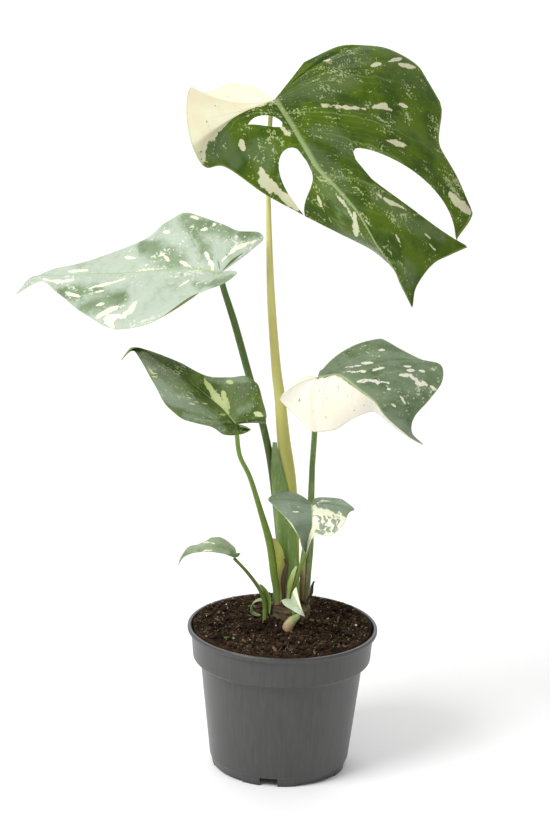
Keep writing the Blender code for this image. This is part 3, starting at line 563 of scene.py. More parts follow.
# Oval rings whose size follows the rows, roughened by noise round the stem that fades to its first
# value at the seam.
def makeCrown():
    middle = np.array([mix["crownX"], mix["crownY"]])
    rows = np.array(crown["rows"], float)
    height = np.concatenate([np.linspace(rows[0, 0], -0.01, crown["steps"]), [0.0]])
    turn = np.linspace(0, 2 * np.pi, crown["sides"], endpoint=False)
    share = np.interp(height, rows[:, 0], rows[:, 1])[:, None]
    share = share * (1 + 0.035 * latticeNoise(turn[None] * 9, height[:, None], 2.2, 21)
                     + 0.02 * latticeNoise(turn[None] * 25, height[:, None] * 0.6, 1.5, 22))
    seam = np.cos((turn - turn[0]) / 2) ** 24
    share = share * (1 - seam) + share[:, :1] * seam
    half = np.array([crown["width"], crown["depth"]]) / 2
    oval = half * share[..., None] * np.stack([np.cos(turn), np.sin(turn)], axis=1)
    oval = np.concatenate([oval, 0.8 * oval[-1:]]) + middle
    height = crownTop + np.append(height, 0.0)[:, None] + 0 * turn
    makeRings("stemCrown", np.concatenate([oval, height[..., None]], axis=2), makeBark(), node="crown_stem",
              slot="crown")


makeCrown()
print("leaves")
# Side veins on each half of a leaf, the gap between pieces that are grown together, how deep a stalk
# of its own root goes, and the thickness of blades in the solids.
veinCount, neighbourGap, rootDepth, solidBlade = 7, 0.3, 26.0, 1.0

# Every leaf is an outline about the point where its stalk joins, in shares of its length: to the
# right, towards the tip, above its plane, and the share of the midrib where that vein starts.
leaves = {
    "top_leaf": dict(
        joint=(-20, 2, 454), length=225, heading=-31, pitch=-54, roll=33,
        grid=(9, 14, 6), rightBow=((0, 0), (.27, -.1), (.4, .05), (.5, .25), (1, .27)),
        leftBow=((0, 0), (.3, .08), (1, .08)),
        rightBelly=((0, 0), (.35, .01), (.5, .05), (1, .05)),
        splits=[
            dict(side=-1, at=.728, lean=-.01, inner=.3, outer=1, half=.068, rise=.2, fall=.43, mouth=.03),
            dict(side=1, at=.718, lean=-.054, inner=.065, outer=1, half=.053, rise=.23, fall=1, mouth=.01),
            dict(side=1, at=.537, lean=0, inner=.087, outer=.473, half=.021, rise=.3, fall=1, mouth=0),
        ],
        midrib=[(0, .15, .02), (0, .28, .03), (-.03, .4, .03), (-.07, .52, .01), (-.09, .66, -.02),
            (-.12, .79, -.05), (-.12, .93, -.07)],
        right=[(.01, -.09, -.07, 0), (.08, -.15, -.12, 0), (.16, -.15, -.1, 0), (.25, -.14, -.02, 0),
            (.29, -.17, .03, 0), (.36, -.09, .04, 0), (.4, .04, .03, 0), (.38, .12, 0, .04),
            (.3, .15, -.02, .12), (.2, .3, -.05, .2), (.09, .42, -.09, .27), (.07, .44, -.1, .38),
            (-.08, .58, -.17, .55), (-.17, .74, -.15, .78), (-.14, .83, -.1, .88),
            (-.12, .93, -.07, 1)],
        left=[(-.2, -.09, -.03, 0), (-.37, -.1, -.08, 0), (-.5, -.07, -.12, 0), (-.62, -.01, -.15, 0),
            (-.7, .11, -.17, 0), (-.7, .25, -.17, .01), (-.59, .42, -.14, .05), (-.6, .56, -.15, .09),
            (-.6, .69, -.18, .13), (-.48, .77, -.19, .17), (-.5, .81, -.17, .33),
            (-.34, .81, -.11, .55), (-.19, .86, -.08, .78), (-.12, .93, -.07, 1)],
    ),
    "left_leaf": dict(
        joint=(-62, -11, 305), length=198, heading=161, pitch=-7, roll=-42,
        grid=(7, 10, 5),
        midrib=[(.02, .15, .01), (0, .49, .01), (0, .75, 0), (.01, .91, -.02), (-.04, 1, -.08)],
        right=[(.05, -.05, .03, 0), (.13, -.12, .01, 0), (.18, -.16, 0, 0), (.21, -.13, .01, 0),
            (.2, -.06, .03, 0), (.24, .04, .04, 0), (.29, .17, .04, 0), (.3, .22, .04, .01),
            (.25, .3, .04, .13), (.17, .4, .02, .28), (.07, .64, .01, .59), (.02, .84, 0, .83),
            (-.04, 1, -.08, 1)],
        left=[(-.01, -.06, .03, 0), (-.04, -.1, .05, 0), (-.12, -.07, .09, 0), (-.18, 0, .12, 0),
            (-.21, .07, .11, 0), (-.3, .22, .07, .01), (-.32, .39, .04, .16), (-.23, .58, .03, .41),
            (-.11, .74, .02, .66), (-.03, .86, 0, .85), (-.04, 1, -.08, 1)],
    ),
    "lower_left_leaf": dict(
        joint=(-45, -62, 185), length=149, heading=133, pitch=18, roll=5,
        grid=(7, 9, 4),
        midrib=[(.01, .18, .02), (.01, .4, .02), (-.01, .66, 0), (.01, .91, -.03), (0, .98, -.07),
            (-.05, .97, -.13)],
        right=[(.06, -.05, .04, 0), (.1, -.12, .07, 0), (.06, -.15, .13, 0), (.09, -.06, .18, 0),
            (.14, .08, .22, 0), (.13, .15, .22, .06), (.08, .23, .17, .18), (.01, .35, .12, .34),
            (.05, .62, .05, .58), (.02, .84, 0, .83), (-.02, .93, -.03, .92), (-.05, .97, -.13, 1)],
        left=[(-.05, -.08, .04, 0), (.01, -.11, .03, 0), (-.04, -.1, 0, 0), (-.14, -.07, -.01, 0),
            (-.2, -.01, .01, 0), (-.34, .06, .03, 0), (-.36, .2, .03, 0), (-.23, .48, 0, .32),
            (-.06, .83, -.03, .79), (-.01, .95, -.06, .95), (-.05, .97, -.13, 1)],
    ),
    "right_leaf": dict(
        joint=(24, -35, 221), length=130, heading=-41, pitch=-17, roll=30,
        grid=(7, 9, 4),
        midrib=[(-.08, .13, .04), (-.06, .32, .06), (-.05, .48, .06), (-.02, .59, .04), (-.01, .8, 0),
            (-.04, .91, -.04)],
        right=[(.03, -.07, 0, 0), (.11, -.11, -.02, 0), (.25, -.11, -.05, 0), (.26, -.04, -.11, 0),
            (.26, .14, -.18, 0), (.22, .2, -.2, .05), (.14, .27, -.2, .14), (0, .32, -.17, .3),
            (-.09, .43, -.12, .48), (-.06, .63, -.1, .7), (-.04, .85, -.06, .92), (-.04, .91, -.04, 1)],
        left=[(-.05, -.03, 0, 0), (-.17, -.01, 0, 0), (-.43, .03, -.02, 0), (-.5, .05, -.03, 0),
            (-.54, .08, -.04, 0), (-.56, .22, -.06, .05), (-.6, .37, -.09, .16),
            (-.67, .47, -.13, .25), (-.58, .57, -.15, .38), (-.4, .63, -.12, .53),
            (-.2, .68, -.08, .68), (-.08, .77, -.06, .82), (-.04, .91, -.04, 1)],
    ),
    "centre_leaf": dict(
        joint=(22, -35, 106), length=68, heading=-90, pitch=0, roll=2,
        grid=(6, 8, 4),
        midrib=[(-.01, .19, -.06), (-.01, .39, -.15), (.03, .47, -.26), (.07, .71, -.42)],
        right=[(.1, .04, .03, 0), (.18, -.23, .05, 0), (.33, -.27, .1, 0), (.44, -.14, .12, 0),
            (.55, .12, .12, 0), (.5, .22, .08, 0), (.31, .57, 0, .35), (.16, .82, -.14, .7),
            (.12, .84, -.28, .75), (.07, .71, -.42, 1)],
        left=[(-.03, -.14, .03, 0), (-.12, -.2, .03, 0), (-.36, -.18, .02, 0), (-.45, -.1, 0, 0),
            (-.55, .09, -.04, 0), (-.48, .16, -.06, 0), (-.39, .48, -.12, .21), (-.22, .66, -.2, .5),
            (-.09, .6, -.2, .54), (0, .64, -.25, .64), (.04, .72, -.32, .69), (.07, .71, -.42, 1)],
    ),
    "small_left_leaf": dict(
        joint=(-43, -29, 53), length=60, heading=211, pitch=2, roll=-40,
        grid=(5, 8, 3), thickness=0.6,
        midrib=[(.05, .07, .05), (.11, .23, .1), (.15, .39, .12), (.22, .64, .08), (.17, .79, .02),
            (.03, .92, -.05)],
        right=[(.07, -.03, .02, 0), (.13, -.03, .04, 0), (.2, .01, .05, 0), (.31, .11, .06, 0),
            (.35, .21, .06, .08), (.35, .29, .06, .16), (.31, .39, .06, .3), (.27, .55, .05, .5),
            (.26, .7, .02, .7), (.12, .86, -.02, .88), (.03, .92, -.05, 1)],
        left=[(-.01, -.03, .04, 0), (.02, -.06, .08, 0), (.02, .06, .1, 0), (0, .18, .13, 0),
            (.02, .29, .15, .12), (.06, .44, .16, .28), (.09, .59, .14, .45), (.11, .72, .1, .6),
            (.1, .83, .05, .78), (.06, .9, 0, .9), (.03, .92, -.05, 1)],
    ),
    "baby_leaf": dict(
        joint=(7, -30, 16), length=24, heading=-70, pitch=-10, roll=30,
        grid=(3, 5, 2), thickness=0.6,
        midrib=[(-.02, .52, 0), (-.07, .82, -.12), (-.08, .93, -.3)],
        right=[(.15, -.16, .03, 0), (.34, -.07, .12, 0), (.34, .12, .08, 0), (.22, .5, 0, .35),
            (.08, .77, -.12, .71), (-.08, .93, -.3, 1)],
        left=[(-.11, -.08, .05, 0), (-.33, -.16, .2, 0), (-.4, -.19, .22, 0), (-.3, .1, .1, 0),
            (-.15, .64, -.08, .53), (-.08, .93, -.3, 1)],
    ),
}

stalks = {
    "top_stalk": dict(leaf="top_leaf", below=1.35, route=[
        (-23, 12, 437, 1.9), (-24, 20, 399, 1.9), (-23, 24, 363, 2), (-19, 27, 283, 3.4),
        (-13, 26, 218, 4.2), (-8, 24, 183, 4.9), (-4, 20, 149, 5.8), (2, 15, 112, 6.3),
        (6, 9, 67, 6.2), (8, 5, 27, 5.7), (9, 4, 12, 5.5)]),
    "left_stalk": dict(leaf="left_leaf", below=0.97, route=[
        (-60, -8, 293, 2.7), (-49, 0, 257, 3.1), (-35, 10, 206, 3.2), (-23, 18, 163, 3.2),
        (-15, 21, 128, 3.4), (-9, 21, 91, 3.8), (-4, 18, 55, 4.2), (0, 14, 23, 4.4),
        (0, 12.5, 12, 4.5)]),
    "lower_left_stalk": dict(leaf="lower_left_leaf", below=0.95, route=[
        (-44, -60, 176, 2), (-41, -52, 154, 2), (-32, -40, 131, 2.1), (-22, -22, 94, 2.6),
        (-13, -8, 59, 3.6), (-8, -2, 29, 4.3), (-5, 0, 12, 4.5)]),
    "right_stalk": dict(leaf="right_leaf", below=1.12, route=[
        (24, -30, 212, 2.3), (23, -22, 193, 2.4), (23, -13, 167, 2.5), (22, -3, 127, 2.6),
        (22, 3, 98, 3), (22, 7, 59, 3.6), (20, 9, 26, 4.3), (19.5, 9, 12, 4.5)]),
    "centre_stalk": dict(leaf="centre_leaf", below=1.12, route=[
        (22, -31, 93, 1.7), (21.5, -28, 81, 1.9), (18, -20, 55, 2.1), (12, -13, 33, 2.3),
        (8, -8, 17, 2.5), (7, -7, 10, 2.5)]),
    "small_left_stalk": dict(leaf="small_left_leaf", below=1.1, planted=True, route=[
        (-41, -27.5, 48.5, 1.4), (-32, -20, 36, 1.5), (-22, -11, 19, 1.7), (-17, -5, 5, 1.9),
        (-16, -3, -8, 2)]),
    "baby_stalk": dict(leaf="baby_leaf", below=1.0, planted=True, route=[
        (7, -26, 13, 1.1), (9, -19, 5, 1.2), (10, -14.5, -6, 1.3)]),
}

sheaths = {
    "left_sheath": dict(stalk="top_stalk", rows=[
        (146, 196, 206, 3, 0), (134, 198, 222, 5.5, 0), (112, 198, 250, 8.5, 0),
        (85, 192, 285, 7.5, 0), (60, 188, 300, 6, 0), (36, 186, 315, 3.5, 0),
        (18, 186, 318, 1.2, 0), (3, 188, 312, 0, 0)]),
    "lower_left_sheath": dict(stalk="lower_left_stalk", rows=[
        (66, 330, 345, 0, 1), (60, 318, 352, 0, 4), (50, 310, 355, 0, 5.5), (38, 305, 350, 0, 5),
        (24, 300, 345, 0, 2.5), (12, 295, 340, 0, 1), (3, 295, 335, 0, 0)]),
    "right_sheath": dict(stalk="right_stalk", rows=[
        (64, 190, 212, 0, 0), (54, 184, 232, 1, 0), (40, 188, 245, 1.4, 0), (22, 206, 258, .2, 0),
        (3, 218, 258, 0, 0)]),
    "centre_sheath": dict(stalk="centre_stalk", rows=[
        (42, 172, 200, 1, 0), (34, 165, 225, 2.6, 0), (24, 170, 240, 2.6, 0), (12, 180, 245, 1, 0),
        (3, 190, 245, 0, 0)]),
    "small_left_sheath": dict(stalk="small_left_stalk", slant=1.5, rows=[
        (22, 30, 50, .5, 0), (17, 0, 60, 2.6, 0), (9, -12, 60, 3.2, 0), (0, -20, 50, 1.6, 0),
        (-8, -25, 40, .6, 0)]),
}

scraps = {
    "dried_bract": dict(across=(.9, -.4, 0), route=[
        (0, -11, 47, 1.5), (2, -10.5, 41, 3.5), (0, -10.5, 33, 4), (-1, -10.5, 24, 4),
        (0, -9, 12, 3), (1, -7, .5, 2)]),
    "dead_scrap": dict(across=(.75, .66, 0), route=[
        (27, -3, 24, 1.5), (25.5, -2, 19, 3), (25, -2, 12, 3.5), (22.5, -1, 7, 3), (20.5, 0, .5, 3)]),
    "curled_leaflet": dict(across=(.25, 1, .1), route=[
        (-19.5, 8, -14.5, 3), (-24, 8, -13.5, 5), (-28, 8, -10, 6), (-28, 8, -4.5, 6.5),
        (-24, 8, 0, 6.5), (-19, 8.5, 1, 6), (-16.5, 9, -7, 4.5), (-15.5, 9, -16, 3),
        (-15.5, 9, -26, 2.5)]),
}

def inPlant(points):
    return np.asarray(points, float) + (0, 0, crownTop)


# Across the leaf to its right, along it and out of its face, from heading, pitch and roll.
def leafAxes(leaf):
    heading, pitch, roll = np.radians([leaf["heading"], leaf["pitch"], leaf["roll"]])
    along = np.array([np.cos(heading) * np.cos(pitch), np.sin(heading) * np.cos(pitch), np.sin(pitch)])
    level = np.array([np.sin(heading), -np.cos(heading), 0])
    face = np.cross(level, along)
    across = level * np.cos(roll) - face * np.sin(roll)
    return across, along, np.cross(across, along)


def sideName(side):
    return "right" if side > 0 else "left"


def ribShare(margin):
    return ((margin[..., 3] - 0.004) / 0.996).clip(0, 1)


# Points of a half leaf: the margin at each vein share, joined to its start on the midrib by a curve
# that bows sideways and swells up, both by 4r(1-r) of the way out r. Side veins lie in shallow
# valleys, the margin waves a little, and the half falls towards the midrib.
def bladePoints(leaf, side, vein, out, relief=True):
    name = sideName(side)
    margin = pathThrough(leaf[name], vein)
    rib = np.array([(0, 0, 0)] + list(leaf["midrib"]), float)
    length = np.concatenate([[0], np.cumsum(np.linalg.norm(np.diff(rib, axis=0), axis=1))])
    start = np.stack([smooth(length / length[-1], column, ribShare(margin)) for column in rib.T], axis=-1)
    reach = margin[..., :3] - start
    span = np.linalg.norm(reach, axis=-1)
    bow = leaf.get(name + "Bow", ((0, 0), (0.3, 0.1), (1, 0.1)))
    belly = leaf.get(name + "Belly", ((0, 0.05), (1, 0.05)))
    sideways = side * np.stack([reach[..., 1], -reach[..., 0], 0 * reach[..., 0]], axis=-1)
    hump = 4 * out * (1 - out)
    points = start + reach * out[..., None] + (hump * smooth(*zip(*bow), vein))[..., None] * sideways
    points[..., 2] += hump * smooth(*zip(*belly), vein) * span
    if relief:
        quilt = np.abs(np.sin(np.pi * veinCount * vein)) ** 0.7 - 0.6
        wave = np.sin(np.pi * veinCount * vein + side) * out**3 * (1 - vein) ** 0.3
        fall = 2 * (0.5 - out).clip(0, 0.5) * (out > 0)
        points[..., 2] += (0.012 * quilt * np.sin(np.pi * out) + 0.008 * wave + 0.012 * fall) * span
    return points


# Vein shares for the columns of a half leaf: even in the basal lobe, then at even midrib steps.
def veinShares(leaf, name, fine):
    at = np.linspace(0, 1, 4001)
    rib = np.maximum.accumulate(ribShare(pathThrough(leaf[name], at)))
    lobeEnd = at[rib == 0][-1]
    basal, steps = leaf["grid"][0] * fine, leaf["grid"][1] * fine
    later = np.interp(np.linspace(0, 1, steps + 1)[1:], rib + 1e-9 * at, at)
    later[-1] = 1
    return np.concatenate([np.linspace(0, lobeEnd, basal), later])


# Two copies of one column move apart by the split's half width at each share of its length, and the
# columns within reach give way in proportion.
def openPart(grid, at, out, split, reach):
    share = ((out - split["inner"]) / (split["outer"] - split["inner"])).clip(0, 1)
    rise, fall = split["rise"], split["fall"]
    peak = (rise / (rise + fall)) ** rise * (fall / (rise + fall)) ** fall
    half = split["half"] * share**rise * (1 - share) ** fall / peak + split["mouth"] * share
    half[(out <= split["inner"]) | (share >= 1) & (split["mouth"] == 0)] = 0
    ease = np.minimum(1, out / split["inner"])
    centre = split["at"] + split["lean"] * (1 - share) * ease
    centre = grid[at, 0] + (centre - grid[at, 0]) * ease
    for first, step, moved in ((at, -1, centre - half), (at + 1, 1, centre + half)):
        start = grid[first].copy()
        stop = min(max(first + step * reach, 0), len(grid) - 1)
        far = grid[stop].copy()
        for column in range(first, stop, step):
            grid[column] = far + (grid[column] - far) / (start - far) * (moved - far)


# How strongly a colour is laid on each point. A stroke is a row of (side, vein, out) points with a
# width in millimetres that narrows to its ends: paint falls from its middle to 0 at that width. A
# patch is a side and bounds in vein and out: paint is 1 well inside and 0 outside it.
def paintLeaf(leaf, flat, uv, strokes, patches=(), middle=0.85):
    paint = np.zeros(len(flat))
    for width, *row in strokes:
        ends = np.array([bladePoints(leaf, side, np.array([vein]), np.array([out]), relief=False)[0]
                         for side, vein, out in row])
        t = np.linspace(0, len(row) - 1, 9 * (len(row) - 1) + 1)
        line = np.stack([np.interp(t, np.arange(len(row)), c) for c in ends.T], axis=1)
        local = width * (0.3 + 0.5 * np.sin(np.pi * (t + 0.15) / (t[-1] + 0.3)))
        apart = np.sqrt(((flat[:, None] - line[None]) ** 2).sum(axis=2)) * leaf["length"]
        paint = np.maximum(paint, middle * (1 - (apart / local).min(axis=1)))
    vein, out = uv[:, 0] % 2, uv[:, 1]
    for side, firstVein, lastVein, firstOut, lastOut in patches:
        depth = np.minimum.reduce([vein - firstVein, lastVein - vein, out - firstOut, lastOut - out])
        on = (uv[:, 0] < 1.5) == (side > 0)
        paint = np.maximum(paint, on * (0.5 + 7 * depth).clip(0, 1))
    return paint.clip(0, 1)


# Both halves as grids of (vein, out), torn at their splits, painted, and welded at the midrib. The
# left half's map is 2 further along, so that the halves stay apart on it.
def makeLeaf(name, node, fine, thickness=0.55):
    leaf, look = leaves[node], looks[node]
    across, along, face = leafAxes(leaf)
    out = np.linspace(0, 1, leaf["grid"][2] * fine + 1) ** 0.9
    flats, uvs, faces, count = [], [], [], 0
    for side in (1, -1):
        columns = veinShares(leaf, sideName(side), fine)
        grid = np.repeat(columns[:, None], len(out), axis=1)
        seams = []
        for split in [s for s in leaf.get("splits", ()) if s["side"] == side]:
            at = int(np.abs(grid[:, 0] - split["at"]).argmin())
            grid = np.insert(grid, at, grid[at], axis=0)
            openPart(grid, at, out, split, 3 * fine)
            seams = [s + (s >= at) for s in seams] + [at]
        outs = np.broadcast_to(out, grid.shape)
        grid = grid.clip(0, 1)
        flats.append(bladePoints(leaf, side, grid, outs).reshape(-1, 3))
        uvs.append(np.stack([(grid if side > 0 else grid + 2).ravel(), outs.ravel()], axis=1))
        quads = gridFaces(len(grid), len(out))
        strip = np.arange(len(quads)) // (len(out) - 1)
        quads = quads[~np.isin(strip, seams)] + count
        faces.append(quads if side > 0 else quads[:, ::-1])
        count += grid.size
    flat, uv, faces = np.vstack(flats), np.vstack(uvs), np.vstack(faces)
    # Layers: the cream, the green, the painted sheen that stands for reflected sky, and the darker parts with
    # less of it.
    layers = {layer: paintLeaf(leaf, flat, uv, look.get(layer, ()))
              for layer in ("silver", "green", "darker")}
    layers["cream"] = paintLeaf(leaf, flat, uv, look.get("cream", ()), look.get("patches", ()))
    placed = np.array(leaf["joint"]) + leaf["length"] * (flat @ np.array([across, along, face]))
    materials = [makeLeafFace(name + "Face", look), makeLeafUnder(name + "Under", look)]
    piece = makePiece(name, inPlant(placed), faces.tolist(), materials, node, "leaf", uv=uv, layers=layers,
                      weld=0.03)
    normals = np.empty(3 * len(piece.data.polygons), np.float32)
    piece.data.polygons.foreach_get("normal", normals)
    if (normals.reshape(-1, 3) @ face).mean() < 0:
        piece.data.flip_normals()
    thicken(piece, thickness, under=1)


# Centres and radii of a stalk, from just behind its leaf down to its foot.
def stalkLine(name, fine=6):
    stalk = stalks[name]
    leaf = leaves[stalk["leaf"]]
    radius = stalk["route"][0][3]
    behind = leaf.get("thickness", solidBlade) / 2 + neighbourGap + stalk["below"] * radius
    x, y, height, footRadius = stalk["route"][-1]
    top = (*(np.array(leaf["joint"]) - behind * leafAxes(leaf)[2]), radius)
    foot = (x, y, -rootDepth if stalk.get("planted") else neighbourGap, footRadius)
    knots = [top, *stalk["route"], foot]
    dense = pathThrough(knots, np.linspace(0, 1, fine * len(knots) + 1))
    return inPlant(dense[:, :3]), dense[:, 3]


# A shell round a stalk between two angles, whose edges may flare away from it. Fine ribs run up it.
def makeSheath(name, node, material, thickness=0.8, steps=60, columns=33):
    sheath = sheaths[node]
    centres, radii = stalkLine(sheath["stalk"])
    rows = pathThrough(sheath["rows"], np.linspace(0, 1, steps))
    share = np.linspace(0, 1, columns)
    z = crownTop + rows[:, 0]
    order = np.argsort(centres[:, 2])
    x, y, radius = (np.interp(z, centres[order, 2], values[order])[:, None]
                    for values in (*centres.T[:2], radii))
    angle = np.radians(rows[:, 1:2] + (rows[:, 2:3] - rows[:, 1:2]) * share)
    flare = rows[:, 3:4] * (1 - share) ** 2 + rows[:, 4:5] * share**2
    away = radius * sheath.get("slant", 1.1) + 0.8 + flare + 0.12 * np.sin(9 * np.pi * share)
    points = np.stack([x + away * np.cos(angle), y + away * np.sin(angle), z[:, None] + 0 * angle], axis=2)
    makeStrip(name, points, share, material, thickness, node=node, slot="sheath")


# A strip of changing width along a line, lying across one direction and cupped a little.
def makeScrap(name, node, material, slot, cup=0.18, thickness=0.6, steps=70, columns=13):
    scrap = scraps[node]
    line = pathThrough(scrap["route"], np.linspace(0, 1, steps))
    across = unit(np.array(scrap["across"], float))
    share = np.linspace(-0.5, 0.5, columns)
    out = unit(np.cross(unit(np.gradient(line[:, :3], axis=0)), across))
    width = line[:, None, 3:]
    points = (line[:, None, :3] + share[None, :, None] * width * across
              + cup * width * (4 * share[None, :, None] ** 2 - 1) * out[:, None] / 2)
    makeStrip(name, inPlant(points), share + 0.5, material, thickness, node=node, slot=slot)


# Pale veins on the leaf's own map: the midrib along out = 0, side veins at even vein shares, and
# fine ones between them. Puts out each as a mask.
def makeVeinGroup():
    group, _, outlet = newGroup("leafVeins", {}, ["Midrib", "Side", "Fine"])
    uv = surfaceMap(group)
    vein, out = surfaceShares(group, uv)
    bent = (noiseValue(group, uv, 3, stretch=(2, 3, 1), detail=2) - 0.5) * 0.05 + vein
    for label, count, wide in (("Side", veinCount, 0.055), ("Fine", 5 * veinCount, 0.16)):
        near = abs((bent * count).fraction() - 0.5)
        plug(group, softStep(group, near, wide, 0) * softStep(group, out, 1, 0.35), outlet[label])
    plug(group, softStep(group, out, 0.026, 0.006), outlet["Midrib"])
    return group


# Cream flecks: small dabs drawn out along the veins, more of them where a slow noise is high.
def makeFleckGroup():
    group, inlet, outlet = newGroup("creamFlecks", dict(Share=0.3, Scale=1.0, Seed=0.0), ["Mask"])
    place, seed = objectPlace(group), inlet["Seed"]
    dabs = noiseValue(group, surfaceMap(group), inlet["Scale"], stretch=(26, 7, 1), detail=3, roughness=0.6,
                      seed=seed)
    grains = noiseValue(group, place, inlet["Scale"] * 330, detail=3, roughness=0.5)
    slow = noiseValue(group, place, 28, detail=2, roughness=0.5, seed=seed)
    value = dabs * 0.5 + grains * 0.5 + (slow - 0.5) * 0.35
    edge = 0.72 - inlet["Share"] * 0.3
    plug(group, ((value - edge) * 28).clamped(), outlet["Mask"])
    return group


# A painted layer with its edge torn by noise: the layer plus noise, stepped hard at a half.
def makeTornGroup():
    group, inlet, outlet = newGroup("tornEdge", dict(Paint=0.0, Tear=0.6, Grain=1.0), ["Mask"])
    along = noiseValue(group, surfaceMap(group), inlet["Grain"], stretch=(16, 4, 1), detail=5, roughness=0.6)
    spots = noiseValue(group, objectPlace(group), 140, detail=5, roughness=0.65)
    torn = inlet["Paint"] + (along * 0.5 + spots * 0.5 - 0.5) * inlet["Tear"] * 4
    plug(group, ((torn - 0.5) * 14).clamped(), outlet["Mask"])
    return group


veinGroup, fleckGroup, tornGroup = makeVeinGroup(), makeFleckGroup(), makeTornGroup()
leafColours = dict(cream=(0.85, 0.83, 0.66), vein=(0.32, 0.42, 0.2), margin=(0.3, 0.38, 0.1),
                   under=(0.2, 0.3, 0.1), rib=(0.36, 0.44, 0.2))
# The look also holds the share and depth of the painted sheen, a pale grey-green that stands for reflected
# sky.
leafLook = dict(paintedSheenShare=0.0, paintedSheenDepth=0.75, fleckDepth=0.8, fleckColour=(0.6, 0.64, 0.42), tear=0.55,
                streakDepth=0.85, creamTint=(0.8, 0.8, 0.58), glow=0.08)


# The upper face, layer over layer: mottled green, a painted sheen of pale grey-green that stands for
# reflected sky, cream flecks, streaks and solid cream with green left in it, then the veins and the margin.
def makeLeafFace(name, look):
    material, tree, shader = newMaterial(name, **{"Specular IOR Level": 0.2})
    look = {**leafLook, **look}
    colours = {**leafColours, **look["colours"]}
    place, seed, veins = objectPlace(tree), look["seed"], useGroup(tree, veinGroup)
    mottle = noiseValue(tree, place, 42, detail=4, shift=(seed, 0, 0))
    colour = mixColour(tree, softStep(tree, mottle, 0.35, 0.65), colours["deep"], colours["green"])
    # Painted reflection: pale grey-green laid where the painted sheen layer and a noise are high, held back
    # where the darker strokes lie.
    silver = painted(tree, "silver") + look["paintedSheenShare"] - painted(tree, "darker") * 0.7
    sheen = noiseValue(tree, place, 55, detail=6, roughness=0.7, shift=(0, seed, 0)) * 1.4 + silver
    paintedSheenMask = softStep(tree, sheen, 0.75, 1.35) * look["paintedSheenDepth"]
    colour = mixColour(tree, paintedSheenMask, colour, colours["silver"])
    colour = mixColour(tree, veins["Fine"] * 0.16, colour, colours["vein"])
    flecks = useGroup(tree, fleckGroup, Share=look["flecks"], Scale=1 / look["fleckSize"], Seed=seed)["Mask"]
    colour = mixColour(tree, flecks * look["fleckDepth"], colour, look["fleckColour"])
    paint = painted(tree, "cream")
    cream = useGroup(tree, tornGroup, Paint=paint, Tear=look["tear"], Grain=1.0)["Mask"]
    green = useGroup(tree, tornGroup, Paint=painted(tree, "green"), Tear=1.1, Grain=2.4)["Mask"]
    solid = softStep(tree, paint, 0.86, 0.97) * (1 - look["streakDepth"]) + look["streakDepth"]
    cream = cream * (1 - green * 0.85) * solid
    tint = mixColour(tree, softStep(tree, mottle, 0.3, 0.7), colours["cream"], look["creamTint"])
    colour = mixColour(tree, cream, colour, tint)
    colour = mixColour(tree, veins["Side"] * 0.35 * (1 - cream * 0.8), colour, colours["vein"])
    colour = mixColour(tree, veins["Midrib"] * 0.7, colour, colours["rib"])
    out = surfaceShares(tree, surfaceMap(tree))[1]
    colour = mixColour(tree, softStep(tree, out, 0.982, 0.998) * 0.5, colour, colours["margin"])
    height = noiseValue(tree, place, 420, detail=4) * 0.35 - veins["Side"] * 0.7 - veins["Fine"] * 0.25
    finishShader(tree, shader, colour, height, 0.0006, 0.55, spread(tree, mottle, 0.3, 0.7, 0.36, 0.5))
    addGlow(shader, look["glow"], 0.6)
    return material


# The lower face: matt yellow-green with raised pale veins, and the cream showing through.
def makeLeafUnder(name, look):
    material, tree, shader = newMaterial(name, Roughness=0.55)
    look = {**leafLook, **look}
    colours = {**leafColours, **look["colours"]}
    veins = useGroup(tree, veinGroup)
    mottle = noiseValue(tree, objectPlace(tree), 60, detail=4)
    shade = tuple(0.7 * c for c in colours["under"])
    colour = mixColour(tree, softStep(tree, mottle, 0.35, 0.65), colours["under"], shade)
    cream = useGroup(tree, tornGroup, Paint=painted(tree, "cream"), Tear=0.5, Grain=1.0)["Mask"]
    colour = mixColour(tree, cream * 0.85, colour, look["creamTint"])
    colour = mixColour(tree, veins["Side"] * 0.4, colour, colours["vein"])
    colour = mixColour(tree, veins["Midrib"] * 0.8, colour, colours["vein"])
    finishShader(tree, shader, colour, veins["Side"] + veins["Midrib"] * 1.5, 0.0008, 0.5)
    addGlow(shader, look["glow"], 0.6)
    return material
